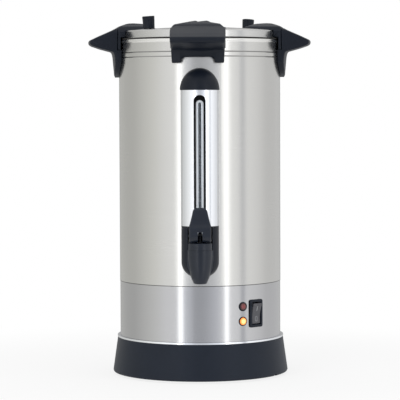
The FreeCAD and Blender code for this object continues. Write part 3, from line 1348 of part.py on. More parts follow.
# Shroud round the tap: the cover's round carried down, closed by a rounded end
shroud_inside = S.shroud_radius - S.cap_wall
shroud_top = S.gauge_low - S.fit_gap
inner_drop = S.shroud_drop - S.cap_wall
shroud_side, shroud_end = oval(S.shroud_radius, S.shroud_drop)
inner_side, inner_end = oval(shroud_inside, inner_drop)
shroud_shell = place(turned("ShroudShell", [
    (shroud_inside, shroud_top),
    (shroud_inside, S.shroud_straight),
    (shroud_inside * SHARE, S.shroud_straight - inner_drop * SHARE, inner_side, -1),
    (0, S.shroud_low + S.cap_wall, inner_end, -1),
    (0, S.shroud_low),
    (S.shroud_radius * SHARE, S.shroud_straight - S.shroud_drop * SHARE, shroud_end, 1),
    (S.shroud_radius, S.shroud_straight, shroud_side, 1),
    (S.shroud_radius, shroud_top),
]), 0, -S.gauge_centre, 0)
web_half = S.web_width / 2
web_gap = S.seat_gap
shroud_opening = padded("ShroudOpening", "XZ_Plane", [
    (-S.spout_radius - web_gap, S.spout_low - S.cap_wall * 2),
    (S.spout_radius + web_gap, S.spout_low - S.cap_wall * 2),
    (S.tap_radius + web_gap, S.tap_waist - S.tap_radius),
    (web_half + web_gap, S.tap_waist),
    (web_half + web_gap, S.gauge_low + S.cap_wall),
    (-web_half - web_gap, S.gauge_low + S.cap_wall),
    (-web_half - web_gap, S.tap_waist),
    (-S.tap_radius - web_gap, S.tap_waist - S.tap_radius),
], S.shroud_radius * 2, S.web_back - S.cap_wall)
node(outside_tank("Shroud", cut("ShroudCut", shroud_shell, shroud_opening), S.fit_gap), "tap_shroud")

# Tap body: an upright valve barrel with cheeks, a shank through the tank and the tube's riser
barrel = place(turned("Barrel", [
    (0, S.spout_low),
    (S.spout_radius, S.spout_low),
    (S.tap_radius * 0.8, S.chamber_floor - S.cap_wall * 2),
    (S.tap_radius, S.tap_waist),
    (S.tap_radius, S.barrel_top),
    (0, S.barrel_top),
]), 0, -S.tap_reach, 0)
web = padded("Web", "XZ_Plane", [
    (-S.spout_radius, S.spout_low + S.small_round),
    (S.spout_radius, S.spout_low + S.small_round),
    (S.tap_radius, S.tap_waist - S.tap_radius),
    (web_half, S.tap_waist),
    (web_half, S.bonnet_top),
    (S.bonnet_radius + S.fit_gap, S.bonnet_top),
    (S.bonnet_radius + S.fit_gap, S.barrel_top),
    (-S.bonnet_radius - S.fit_gap, S.barrel_top),
    (-S.bonnet_radius - S.fit_gap, S.bonnet_top),
    (-web_half, S.bonnet_top),
    (-web_half, S.tap_waist),
    (-S.tap_radius, S.tap_waist - S.tap_radius),
], S.web_front - S.web_back, S.web_back)
shank = cylinder("Shank", S.shank_radius, S.tap_reach - S.shank_end, 0, -S.shank_end, S.shank_height, FORWARD)
outer_washer_front = S.tank_radius + S.fit_gap + S.washer_sheet
riser_block = padded("Riser", "XY_Plane", [
    (-S.riser_width / 2, -riser_front),
    (S.riser_width / 2, -riser_front),
    (S.riser_width / 2, -S.channel_back),
    (-S.riser_width / 2, -S.channel_back),
], S.riser_top - S.shank_height, S.shank_height)
riser = cut("RiserCut", riser_block, cylinder("WasherRoom", S.washer_radius + S.fit_gap,
                                              outer_washer_front + S.fit_gap, 0, 0, S.shank_height, FORWARD))
tap_holes = [
    cylinder("Outlet", S.spout_bore, S.chamber_floor, 0, -S.tap_reach,
             S.spout_low - S.small_round),
    cylinder("Chamber", S.chamber_radius, S.barrel_top - S.chamber_floor, 0, -S.tap_reach, S.chamber_floor),
    cylinder("ShankBore", S.shank_bore, S.tap_reach - S.shank_end, 0,
             S.small_round - S.shank_end, S.shank_height, FORWARD),
    cylinder("RiserBore", S.riser_bore, S.riser_top, 0, -S.tube_reach, S.shank_height),
    cylinder("TubeSocket", S.tube_radius + S.tube_wall + S.running_gap, S.riser_top, 0, -S.tube_reach,
             S.tube_foot - S.running_gap),
]
node(cut("TapBody", fused("TapSolid", barrel, web, shank, riser), *tap_holes), "tap_body")

# Bonnet: closes the barrel and guides the stem
bonnet_plug = S.chamber_radius - S.running_gap
bonnet_round = place(turned("BonnetRound", [
    (S.stem_radius + S.running_gap, S.barrel_top - S.plug_drop),
    (bonnet_plug, S.barrel_top - S.plug_drop),
    (bonnet_plug, S.barrel_top + S.running_gap),
    (S.bonnet_radius, S.barrel_top + S.running_gap),
    (S.bonnet_radius, S.bonnet_top - S.bonnet_round),
    (S.bonnet_radius - S.bonnet_round, S.bonnet_top, S.bonnet_round, 1),
    (S.stem_radius + S.running_gap, S.bonnet_top),
]), 0, -S.tap_reach, 0)
bonnet_flat = block("BonnetFlat", S.tap_radius * 4, S.tap_radius * 2, S.tap_radius * 2, 0,
                    S.tap_radius - riser_front - S.fit_gap, S.barrel_top)
node(cut("Bonnet", bonnet_round, bonnet_flat), "tap_bonnet")

# Washers each side of the tank wall, and the nut on the shank
washer_bore = S.shank_radius + S.running_gap
outer_washer = cut("OuterWasherCut",
                   cylinder("OuterWasherDisc", S.washer_radius, outer_washer_front, 0, 0, S.shank_height,
                            FORWARD),
                   cylinder("OuterWasherBore", washer_bore, outer_washer_front * 2, 0, S.fit_gap,
                            S.shank_height, FORWARD))
node(outside_tank("OuterWasher", outer_washer, S.fit_gap), "tap_outer_washer")
inner_washer_back = head_seat - S.washer_sheet * 1.5
inner_washer = common("InnerWasherCommon",
                      cut("InnerWasherCut",
                          cylinder("InnerWasherDisc", S.washer_radius, S.tank_radius, 0,
                                   -inner_washer_back, S.shank_height, FORWARD),
                          cylinder("InnerWasherBore", washer_bore, S.tank_radius * 2, 0, 0,
                                   S.shank_height, FORWARD)),
                      cylinder("InnerWasherTank", head_seat, S.tank_top, 0, 0, 0))
node(inner_washer, "tap_inner_washer")
node(hexagon_nut("ShankNut", S.tap_nut_across, washer_bore, S.tap_nut_height, 0,
                 -inner_washer_back + S.tap_nut_height + S.running_gap, S.shank_height, FORWARD), "tap_nut")

# Valve stem with a flat eye, and the rubber cup on its lower end
hub_height = S.bonnet_top + S.seat_gap + S.hub_radius
cup_low = S.chamber_floor + S.running_gap
cup_top = cup_low + S.seal_height
stem_foot = cup_low + S.seal_height * 0.4
shaft = cylinder("Shaft", S.stem_radius, hub_height - stem_foot, 0, -S.tap_reach, stem_foot)
stem_collar = cylinder("StemCollar", S.spring_radius + S.spring_wire, S.collar_rise, 0, -S.tap_reach,
                       cup_top + S.running_gap)
eye = cylinder("Eye", S.eye_radius, S.eye_width, -S.eye_width / 2, -S.tap_reach, hub_height, SIDEWAYS)
eye_hole = cylinder("EyeHole", S.lever_pin_radius + S.running_gap, S.eye_width * 2, -S.eye_width,
                    -S.tap_reach, hub_height, SIDEWAYS)
node(cut("Stem", fused("StemSolid", shaft, stem_collar, eye), eye_hole), "valve_stem")
node(place(turned("Cup", [
    (0, cup_low),
    (S.seal_radius - S.small_round, cup_low),
    (S.seal_radius, cup_low + S.small_round),
    (S.seal_radius, cup_top),
    (S.stem_radius + S.running_gap, cup_top),
    (S.stem_radius + S.running_gap, stem_foot - S.running_gap),
    (0, stem_foot - S.running_gap),
]), 0, -S.tap_reach, 0), "valve_seal")

# Lever: a round hub with a slot for the stem's eye and a tapering paddle above it
lever_half = S.lever_width / 2
hub_reach = S.tap_reach + S.hub_offset
hub = cylinder("Hub", S.hub_radius, S.lever_width, -lever_half, -hub_reach, hub_height, SIDEWAYS)
paddle_side = padded("PaddleSide", "YZ_Plane", [
    (-hub_reach - S.hub_radius, hub_height),
    (-hub_reach, hub_height),
    (-hub_reach + S.hub_radius * 0.5, hub_height + S.hub_radius * 0.8),
    (-hub_reach - S.lever_lean, S.lever_shoulder),
    (-hub_reach - S.lever_lean, S.lever_top),
    (-hub_reach - S.lever_lean - S.lever_thick, S.lever_top),
    (-hub_reach - S.hub_radius, S.lever_shoulder - S.shoulder_round),
], S.lever_width, -lever_half)
tip_flare = S.lever_top_width / 2 + S.lever_tip_flare
tip_level = S.lever_top_width / 2 - S.lever_tip_inset
paddle_front = padded("PaddleFront", "XZ_Plane", [
    (-lever_half, hub_height - S.hub_radius),
    (lever_half, hub_height - S.hub_radius),
    (lever_half, S.lever_shoulder),
    (tip_flare, S.lever_top - S.lever_tip_round, S.lever_width * 2, 1),
    (tip_level, S.lever_top, S.lever_tip_round, 1),
    (-tip_level, S.lever_top),
    (-tip_flare, S.lever_top - S.lever_tip_round, S.lever_tip_round, 1),
    (-lever_half, S.lever_shoulder, S.lever_width * 2, 1),
], S.wing_reach * 2)
lever_solid = fused("LeverSolid", hub, common("Paddle", paddle_side, paddle_front))
lever_slot = block("LeverSlot", S.lever_slot, S.hub_radius * 6, S.hub_radius * 4, 0, -hub_reach,
                   hub_height + S.lever_slot_rise - S.hub_radius * 4)
lever_bore = cylinder("LeverBore", S.lever_pin_radius + S.running_gap, S.lever_width * 2, -S.lever_width,
                      -S.tap_reach, hub_height, SIDEWAYS)
node(cut("Lever", lever_solid, lever_slot, lever_bore), "tap_lever")
pin_length = S.lever_width - 2 * S.pin_inset
node(cylinder("LeverPin", S.lever_pin_radius, pin_length, -pin_length / 2, -S.tap_reach, hub_height,
              SIDEWAYS), "lever_pin")


# Valve spring: half turns of wire between the stem's collar and the bonnet
def spring(name, radius, wire, turns, low, high):
    """A coil as half turn arcs on a helix, swept by the wire's round."""
    half_turns = 2 * turns
    rise = (high - low) / half_turns

    def on_helix(step):
        angle = math.pi * step
        return Vector(radius * math.cos(angle), radius * math.sin(angle), low + rise * step)

    arcs = [Part.Arc(on_helix(step), on_helix(step + 0.5), on_helix(step + 1)).toShape()
            for step in range(half_turns)]
    path = Part.Wire(arcs)
    section = Part.Wire([Part.makeCircle(wire, on_helix(0), arcs[0].tangentAt(arcs[0].FirstParameter))])
    return path.makePipeShell([section], True, False)


coil = doc.addObject("Part::Feature", "ValveSpring")
spring_low = number(cup_top + S.running_gap + S.collar_rise + S.spring_wire + S.fit_gap)
spring_high = number(S.barrel_top - S.plug_drop - S.spring_wire - S.fit_gap)
coil.Shape = spring("ValveSpring", number(S.spring_radius) - number(S.spring_wire), number(S.spring_wire),
                    int(number(S.spring_turns)), spring_low, spring_high)
place(coil, 0, -S.tap_reach, 0)
node(coil, "valve_spring")

# Percolator: a foot in the heating well, a tube, a basket on a collar and a spreader on the basket
foot_low = well_floor + S.seat_gap
foot_high = foot_low + S.pump_foot_height
pump_inside = S.pump_radius - S.pump_wall
node(turned("PumpFoot", [
    (S.pump_foot_radius - S.foot_sheet, foot_low),
    (S.pump_foot_radius, foot_low),
    (S.pump_foot_radius, foot_low + S.foot_rim),
    (S.pump_radius + S.foot_neck, foot_high),
    (S.pump_radius + S.running_gap, foot_high + S.foot_collar),
    (S.pump_radius + S.running_gap, foot_high - S.foot_collar / 2),
    (S.pump_foot_radius - S.foot_sheet, foot_low + S.foot_rim / 2),
]), "pump_foot")
collar_top = S.basket_low - S.running_gap
node(turned("PumpTube", [
    (pump_inside, foot_low + S.pump_foot_height * 0.6),
    (S.pump_radius, foot_low + S.pump_foot_height * 0.6),
    (S.pump_radius, collar_top - S.stop_height),
    (S.stop_radius, collar_top - S.stop_height),
    (S.stop_radius, collar_top),
    (S.pump_radius, collar_top),
    (S.pump_radius, S.pump_top),
    (pump_inside, S.pump_top),
]), "pump_tube")
basket_shell = turned("BasketShell", [
    (S.basket_sleeve - S.basket_sheet, S.basket_low),
    (S.basket_radius - S.basket_round, S.basket_low),
    (S.basket_radius, S.basket_low + S.basket_round, S.basket_round, 1),
    (S.basket_radius, S.basket_high),
    (S.basket_radius - S.basket_sheet, S.basket_high),
    (S.basket_radius - S.basket_sheet, S.basket_low + S.basket_round),
    (S.basket_radius - S.basket_round, S.basket_low + S.basket_sheet, S.basket_round - S.basket_sheet, -1),
    (S.basket_sleeve, S.basket_low + S.basket_sheet),
    (S.basket_sleeve, S.basket_high - S.sleeve_drop),
    (S.basket_sleeve - S.basket_sheet, S.basket_high - S.sleeve_drop),
])


def perforated(name, shell, radius, hole_counts, height):
    """A drilled disc: how many holes there are on each ring, by the ring's share of the basket's radius."""
    holes = []
    for row, (share, count) in enumerate(hole_counts.items()):
        for step in range(count):
            x, y = on_circle(S.basket_radius * share, 360 * step / count)
            holes.append(cylinder("%sHole%d_%d" % (name, row, step), radius, radius * 5, x, y,
                                  height - radius * 2.5))
    return cut(name, shell, bundled(name + "Holes", holes))


BASKET_HOLE_COUNTS = {0.22: 10, 0.36: 16, 0.5: 22, 0.64: 28, 0.78: 34}
node(perforated("Basket", basket_shell, S.basket_hole, BASKET_HOLE_COUNTS, S.basket_low), "coffee_basket")
spreader_low = S.basket_high + S.running_gap
spreader_shell = turned("SpreaderShell", [
    (S.basket_sleeve, spreader_low),
    (S.basket_radius + S.spreader_lip, spreader_low),
    (S.basket_radius + S.spreader_lip, spreader_low + S.basket_sheet),
    (S.basket_sleeve + S.basket_sheet, spreader_low + S.basket_sheet),
    (S.basket_sleeve + S.basket_sheet, spreader_low + S.sleeve_drop),
    (S.basket_sleeve, spreader_low + S.sleeve_drop),
])
SPREADER_HOLE_COUNTS = {0.35: 8, 0.6: 14, 0.82: 20}
node(perforated("Spreader", spreader_shell, S.basket_hole, SPREADER_HOLE_COUNTS, spreader_low),
     "water_spreader")

# Hand over every piece once the whole document is sound
doc.recompute()
for piece in doc.Objects:
    faults = [state for state in piece.State if state in ("Invalid", "Error")]
    if faults:
        raise RuntimeError("%s is %s" % (piece.Label, faults))
for name, piece in nodes.items():
    shape = piece.Shape
    if shape.isNull() or not shape.isValid() or not shape.Solids:
        raise RuntimeError("%s has no sound shape" % name)
os.makedirs("parts", exist_ok=True)
for name, piece in nodes.items():
    piece.Shape.exportStep("parts/%s.step" % name)
    print("%-20s %d solids %12.1f mm3" % (name, len(piece.Shape.Solids), piece.Shape.Volume))
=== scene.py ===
"""Finishes, soft edged plastics and a plain studio for a coffee urn with a lever tap.

The frame's own axes: +Z up, the tap faces -Y, +X to the right of someone who faces it. The frame and the
stage are in metres. Shapes are worked out in millimetres and scaled once, when their mesh is made.
"""

import json
import math
from types import SimpleNamespace

import bmesh
import bpy
import numpy as np
from mathutils import Matrix, Vector

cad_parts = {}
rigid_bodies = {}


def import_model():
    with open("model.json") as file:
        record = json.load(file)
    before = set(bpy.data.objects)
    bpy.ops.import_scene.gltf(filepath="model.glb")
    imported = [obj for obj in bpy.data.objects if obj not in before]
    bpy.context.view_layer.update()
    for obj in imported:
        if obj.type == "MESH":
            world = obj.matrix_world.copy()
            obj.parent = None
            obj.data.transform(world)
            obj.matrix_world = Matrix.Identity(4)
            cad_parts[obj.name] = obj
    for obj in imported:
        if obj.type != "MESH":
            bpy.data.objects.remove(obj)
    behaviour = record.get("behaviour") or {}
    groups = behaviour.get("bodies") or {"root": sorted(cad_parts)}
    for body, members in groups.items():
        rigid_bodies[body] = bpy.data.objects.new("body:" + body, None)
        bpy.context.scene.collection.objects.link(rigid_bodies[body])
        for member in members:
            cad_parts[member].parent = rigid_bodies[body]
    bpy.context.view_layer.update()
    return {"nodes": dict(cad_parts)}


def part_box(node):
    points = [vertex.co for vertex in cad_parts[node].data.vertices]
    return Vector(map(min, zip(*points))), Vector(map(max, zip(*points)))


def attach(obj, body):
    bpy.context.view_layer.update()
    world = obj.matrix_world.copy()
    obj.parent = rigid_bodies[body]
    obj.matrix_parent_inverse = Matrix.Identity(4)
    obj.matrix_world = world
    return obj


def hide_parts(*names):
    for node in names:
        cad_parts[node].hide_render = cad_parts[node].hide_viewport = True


bl_info = {
    "name": "Coffee Urn",
    "version": (1, 0, 0),
    "blender": (4, 5, 0),
    "location": "View3D > Sidebar > Urn",
    "description": "Dresses a packed coffee urn with finishes and soft edged pieces",
    "category": "Object",
}

for leftover in list(bpy.data.objects):
    bpy.data.objects.remove(leftover)
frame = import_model()

MM = 0.001
FRONT = -90.0
FRONT_GRIP = FRONT - 1.1
HANDLE_ANGLES = {"right": 0.0, "rear": 90.0, "left": 180.0, "front": FRONT_GRIP}


def edges(node):
    """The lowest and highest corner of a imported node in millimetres."""
    low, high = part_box(node)
    return np.array(low) / MM, np.array(high) / MM


def middle_height(node):
    """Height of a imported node's middle."""
    low, high = edges(node)
    return (low[2] + high[2]) / 2


# How far a softer piece stays inside the solid that it stands for
WITHIN = 0.05
TANK_LOW = edges("tank")[0]
HANDLE_LOW, HANDLE_HIGH = edges("right_handle")
BRACKET_LOW = edges("front_bracket")[0]
CLIP_LOW, CLIP_HIGH = edges("right_lid_clip")
COVER_LOW = edges("gauge_cover")[0]
BODY_LOW, BODY_HIGH = edges("tap_body")
BONNET_HIGH = edges("tap_bonnet")[1]
LEVER_HIGH = edges("tap_lever")[1]

# Heights on the tank (low, high, soft edge, level) where its colour is painted darker or brighter: painted
# shade along its lower hem and in two rolled grooves, and a painted highlight on the rim
TANK_PAINTED_SHADE_AND_HIGHLIGHT = (
    # painted shade: the lower hem, then the two rolled grooves
    (TANK_LOW[2] - 1, TANK_LOW[2] + 1.3, 0.3, 0.25),
    (408.4, 409.2, 0.5, 0.55),
    (414.3, 415.3, 0.5, 0.5),
    # painted highlight: the rim
    (427.2, 434.0, 0.8, 1.35),
)
# Side view of a wing (outward, up, rounding): its underside, the heights of its round tip, its sloping back
WING_UNDERSIDE = ((130, 420.1, 30), (140.8, 423.8, 8))
WING_TIP = (426.0, 430.6)
WING_BACK = ((132, 436.2, 40), (114.3, 444, 16))
# Front view of a lid clip (aside, up), and the reach and steps that its corners are averaged over
CLIP_HUMPS = ((-34.9, 441.5), (-31.4, 446.6), (-29.4, 448.4), (-2.6, 453.7), (-0.5, 451.8), (1.3, 452.2),
              (11.3, 453.7), (15.6, 451.2), (27.7, 449.0), (31.0, 446.0), (34.9, 441.2))
HUMP_REACH = 36
HUMP_STEP = 0.25
HUMP_STEPS = 5
# Side view of a lid clip: where its arch starts to fall and where it turns down
CLIP_FALL, CLIP_TURN = 94, 105.1
# The tap's inside, where its cheeks start, its spout (radius, up, rounding), its shank and its riser
VALVE_BORE = 8.4
VALVE_SEAT = 146.0
CHEEK_START = 145.6
SPOUT_CURVE = ((11.0, 133.5, 16), (14.0, 146, 40))
SHANK_RADIUS, SHANK_INNER, SHANK_OUTER, SHANK_HEIGHT = 8.9, 91.1, 116, 158
RISER_HALF, RISER_BACK, RISER_FRONT, RISER_FOOT = 7.2, 107, 118.9, 160
# The scale behind the sight tube
SCALE_BACK = 104.9
SCALE_TOP = 350
MARK_COUNT = 10
MARK_HALF = 0.7
# A lamp's lens, out from the skirt: where its dome starts and how far that rises, and its stem
DOME_START, DOME_RISE = 0.5, 1.9
STEM_RADIUS, STEM_END = 3.4, -5.4
LAMP_DEPTH = 18.0
# The switch: depth behind the skirt, its rim, the rocker's lean and how far its ends and its middle stand out
SWITCH_DEPTH = 21.9
SWITCH_RIM = 2.2
ROCKER_LEAN = 8.0
ROCKER_END, ROCKER_DIP = 4.8, 2.7
ROCKER_PIVOT = 2.0
# Section of a raised mark, (in from its outline, out of the face), and the rocker's marks (half width,
# half length, corner, half of the rocker that carries it)
MARK_SECTION = np.array([(0.0, -0.2), (0.0, 0.12), (0.62, 0.12), (0.62, -0.2)])
ROCKER_MARKS = ((0.7, 3.2, 0.5, 1), (1.9, 3.3, 1.85, -1))

# What the steel mirrors, from the camera's side round to the right and to the left: (degrees, level, tint)
WARM, COOL, PLAIN = (1.0, 1.0, 0.965), (0.93, 0.95, 1.0), (1.0, 1.0, 1.0)
SURROUND = [
    (-180.0, 0.40, PLAIN), (-166.0, 0.45, PLAIN), (-158.0, 0.60, WARM), (-140.0, 0.66, WARM),
    (-107.0, 0.68, WARM), (-92.0, 0.78, WARM), (-68.0, 0.95, WARM), (-47.0, 1.13, PLAIN),
    (-31.0, 1.10, PLAIN), (-29.5, 3.2, PLAIN), (-25.5, 3.2, PLAIN), (-24.0, 1.05, COOL),
    (-14.0, 0.95, COOL), (-8.0, 0.66, COOL), (3.0, 0.66, COOL), (13.0, 0.78, COOL),
    (25.0, 0.98, COOL), (34.0, 1.20, PLAIN), (35.5, 3.0, PLAIN), (39.0, 3.0, PLAIN),
    (40.5, 1.20, PLAIN), (57.0, 1.18, PLAIN), (60.0, 0.70, COOL), (64.0, 0.70, COOL),
    (67.0, 1.16, PLAIN), (95.0, 0.96, PLAIN), (106.0, 0.84, PLAIN), (140.0, 0.78, PLAIN),
    (158.0, 0.66, PLAIN), (166.0, 0.45, PLAIN), (180.0, 0.40, PLAIN),
]
SURROUND_PEAK = 3.2
SURROUND_RADIUS = 2.6
SURROUND_LOW = -1.4
SURROUND_HIGH = 2.2
# Area lights (name, place, aim, width, height, power)
LAMPS = [
    ("key", (-1.3, -1.9, 2.3), (0, 0, 0.2), 1.6, 1.6, 20.0),
    ("fill", (1.9, -1.2, 1.5), (0, 0, 0.2), 1.4, 1.4, 10.0),
    ("top", (0, 0.5, 2.6), (0, 0, 0.2), 1.8, 1.8, 7.0),
]
FLOOR_REACH = 7.0
FLOOR_HEIGHT = -0.0005
MERGE_DISTANCE = 0.5e-6

# Filled by the finishes step: the material of each slot
MATERIALS = {}


def length(label, meaning, default):
    """A size in millimetres that a user can change."""
    return bpy.props.FloatProperty(name=label, description=meaning, default=float(default) * MM,
                                   unit="LENGTH", precision=5)


def angle(label, meaning, degrees):
    """An angle that a user can change."""
    return bpy.props.FloatProperty(name=label, description=meaning, default=math.radians(degrees),
                                   subtype="ANGLE")


def amount(label, meaning, default):
    """A plain number from 0 up that a user can change."""
    return bpy.props.FloatProperty(name=label, description=meaning, default=default, min=0.0)


def colour(label, meaning, *default):
    """A colour that a user can change."""
    return bpy.props.FloatVectorProperty(name=label, description=meaning, default=default, size=3, min=0.0,
                                         max=1.0, subtype="COLOR")


class UrnSizes(bpy.types.PropertyGroup):
    """Sizes of the pieces that this script shapes."""

    tank_radius: length("Tank radius", "Outside of the tank wall", 104.4)
    seat_gap: length("Seat gap", "Gap between a plastic piece and the steel it sits on", 0.15)
    soft_edge: length("Soft edge", "Rounding of a moulded piece's long edges", 1.3)

    handle_half: length("Handle half width", "Half the width of a handle's wing", HANDLE_HIGH[1] - WITHIN)
    handle_foot_half: length("Handle foot", "Half the width of a handle's leg", 32.6)
    handle_foot: length("Leg straight", "Height where a leg's round end starts", 403.0)
    handle_round: length("Leg round", "Radius of a leg's round end", 37.16)
    handle_part: length("Handle part", "Inner face of a wing from the axis", 109.9)
    wing_under: length("Wing underside", "Height of the wing's underside at the leg", 416.7)
    leg_reach: length("Leg reach", "Outside of a leg from the axis", 113.0)
    leg_foot_reach: length("Leg foot reach", "Outside of a leg at its foot", 110.8)
    handle_corner: length("Handle corner", "Rounding of a wing's top corners", 6.0)
    arch_room: length("Arch room", "Solid bracket above its arch, below the wing", 2.0)
    bracket_extra: length("Bracket extra", "Thickness that covers the bracket's screws", 1.0)
    arch_half: length("Arch half width", "Half the arch in the front bracket", 21.75)
    arch_top: length("Arch top", "Height of the arch in the front bracket", 407.5)

    lid_edge: length("Lid edge", "Height of the lid's upper edge", 443.2)
    lid_radius: length("Lid radius", "Side of the lid", 100.0)
    lip_radius: length("Lip radius", "Room for the rim under a lid clip", 106.0)
    lip_top: length("Lip top", "Top of the lid's lip", 434.3)
    clip_crest: length("Clip crest", "Where a lid clip is highest, from the axis", 87.0)

    scale_half: length("Scale half width", "Half the strip behind the sight tube", 3.0)
    scale_low: length("Scale low", "Lower end of the strip behind the sight tube", 205.0)
    mark_low: length("Lowest mark", "Height of the lowest mark", 227.0)
    mark_high: length("Highest mark", "Height of the highest mark", 338.5)

    tap_reach: length("Tap reach", "Valve's axis from the tank's axis", 127.5)
    tap_radius: length("Tap radius", "Valve barrel", 15.6)
    tap_waist: length("Tap waist", "Height where the barrel starts to taper", 160.0)
    barrel_top: length("Barrel top", "Top of the valve barrel", 168.5)
    cheek_half: length("Cheek half width", "Half the width over the barrel's cheeks", BODY_HIGH[0])
    cheek_front: length("Cheek front", "Front of the cheeks from the axis", 128.4)
    cheek_back: length("Cheek back", "Back of the cheeks from the axis", 118.4)
    spout_radius: length("Spout radius", "Outside of the spout's mouth", 7.6)
    spout_bore: length("Spout bore", "Bore of the spout", 5.5)
    hub_radius: length("Hub radius", "Round of the lever's hub", 10.0)
    hub_offset: length("Hub offset", "Hub's centre in front of the pin", 6.0)
    lever_shoulder: length("Lever shoulder", "Height where the lever starts to narrow", 199.0)
    lever_top_half: length("Lever top", "Half the lever's width at its top", 7.25)
    lever_slot_half: length("Lever slot", "Half the slot for the stem's eye", 2.95)
    lever_slot_top: length("Slot top", "Top of the slot above the pin", 3.6)

    skirt_radius: length("Skirt radius", "Outside of the skirt", 104.1)
    lamp_angle: angle("Lamp angle", "Indicator lamps from the tap", 30.9)
    lamp_radius: length("Lamp bezel", "Outside of a lamp's bezel", 5.9)
    lens_radius: length("Lens", "Edge of a lamp's lens", 4.75)
    lamp_barrel: length("Lamp barrel", "Outside of a lamp's barrel behind the skirt", 4.5)
    switch_angle: angle("Switch angle", "Rocker switch from the tap", 42.3)
    switch_half: length("Switch bezel", "Half the width of the switch's bezel", 11.0)
    rocker_half: length("Rocker", "Half the length of the rocker", 13.25)


class UrnLooks(bpy.types.PropertyGroup):
    """Colours and strengths of the finishes."""

    tank: colour("Tank steel", "Satin steel of the tank", 0.565, 0.562, 0.548)
    skirt: colour("Skirt steel", "Smoother steel of the skirt", 0.475, 0.477, 0.487)
    lid: colour("Lid steel", "Steel of the lid", 0.565, 0.565, 0.56)
    cover: colour("Bright steel", "Bright steel of the gauge cover and the trim", 0.84, 0.86, 0.90)
    black: colour("Black plastic", "Handles, tap and gauge cap", 0.007, 0.010, 0.017)
    base: colour("Base plastic", "Base ring", 0.013, 0.018, 0.029)
    red: colour("Red lens", "Lamp that is off", 0.26, 0.035, 0.035)
    amber: colour("Amber lens", "Edge of the lamp that is lit", 0.90, 0.22, 0.02)
    mark: colour("Marks", "Marks on the scale and on the rocker", 0.62, 0.64, 0.66)
    glow: amount("Glow", "Strength of the lit lamp", 0.8)


class UrnStudio(bpy.types.PropertyGroup):
    """Camera and light."""

    camera_distance: length("Camera distance", "Camera from the tank's axis", 2548.0)
    camera_height: length("Camera height", "Camera above the ground", 349.1)
    aim_height: length("Aim height", "Point that the camera looks at", 224.3)
    view_angle: angle("View angle", "Field of view", 11.653)
    roll: angle("Roll", "Roll of the camera", 0.2)
    ambient: amount("Ambient", "Light that the world gives to matt surfaces", 0.62)


def sizes():
    """What the user set, for the shapes: lengths in millimetres and angles in degrees."""
    group = bpy.context.scene.urn_sizes
    values = {name: getattr(group, name) for name in UrnSizes.__annotations__}
    return SimpleNamespace(**{name: math.degrees(value) if name.endswith("angle") else value / MM
                              for name, value in values.items()})


def looks():
    """The colours that the user set."""
    return bpy.context.scene.urn_looks


def linked(name, data):
    """An object in the scene."""
    made = bpy.data.objects.new(name, data)
    bpy.context.scene.collection.objects.link(made)
    return made


# Shapes: every new mesh starts as an array of points, one row for each ring of the surface
def rounded(corners, steps=6, closed=False):
    """An outline whose corners (across, up, radius) are arcs.

    An arc leaves both sides at radius / tan(half the angle between them), at most 0.48 of the shorter side,
    and its points are spread evenly over its turn.
    """
    corners = [tuple(corner) + (0.0,) * (3 - len(corner)) for corner in corners]
    points = np.array([corner[:2] for corner in corners], float)
    outline = []
    for index, (across, up, radius) in enumerate(corners):
        here = points[index]
        ends = not closed and index in (0, len(corners) - 1)
        if radius <= 0 or ends:
            outline.append(here[None])
            continue
        back = points[index - 1] - here
        ahead = points[(index + 1) % len(points)] - here
        back_length, ahead_length = np.hypot(*back), np.hypot(*ahead)
        back, ahead = back / back_length, ahead / ahead_length
        between = math.acos(np.clip(back @ ahead, -1, 1))
        if between > math.pi - 0.01:
            outline.append(here[None])
            continue
        run = min(radius / math.tan(between / 2), 0.48 * min(back_length, ahead_length))
        radius = run * math.tan(between / 2)
        centre = here + (back + ahead) / np.hypot(*(back + ahead)) * radius / math.sin(between / 2)
        start, end = here + back * run - centre, here + ahead * run - centre
        turn = math.pi - between
        share = np.linspace(0, 1, steps + 1)[:, None]
        outline.append(centre + (np.sin((1 - share) * turn) * start + np.sin(share * turn) * end)
                       / math.sin(turn))
    return np.concatenate(outline)


def finer(outline, step):
    """The same open outline with points no further apart than a step."""
    pieces = []
    for start, end in zip(outline[:-1], outline[1:]):
        count = max(1, math.ceil(np.hypot(*(end - start)) / step))
        pieces.append(start + (end - start) * (np.arange(count) / count)[:, None])
    return np.concatenate(pieces + [outline[-1:]])


def at_angle(points, degrees):
    """Points (aside, outward, up) turned about the axis, so that outward points along that angle."""
    turn = math.radians(degrees)
    aside, outward, up = np.moveaxis(points, -1, 0)
    return np.stack([outward * math.cos(turn) - aside * math.sin(turn),
                     outward * math.sin(turn) + aside * math.cos(turn), up], -1)


def circle(steps):
    """Angles spread evenly round a circle, one for each row."""
    return np.radians(np.arange(steps) * 360 / steps)[:, None]


def run_along(curve):
    """How far along a curve each of its points lies."""
    return np.concatenate([[0], np.cumsum(np.hypot(*np.diff(curve, axis=0).T))])


def at_shares(curve, shares):
    """The points of a curve at shares of its length."""
    run = run_along(curve)
    return np.stack([np.interp(shares * run[-1], run, values) for values in curve.T], -1)


def corner_loss(distance, corner):
    """How far a round corner draws a side in, a distance into it: corner - sqrt(corner^2 - distance^2)."""
    distance = np.clip(distance, 0, corner)
    return corner - np.sqrt(corner ** 2 - distance ** 2)


def soft_lower(first, second, soft):
    """The lower of two values with a soft join: -soft * log(exp(-first / soft) + exp(-second / soft))."""
    return -soft * np.log(np.exp(-first / soft) + np.exp(-second / soft))


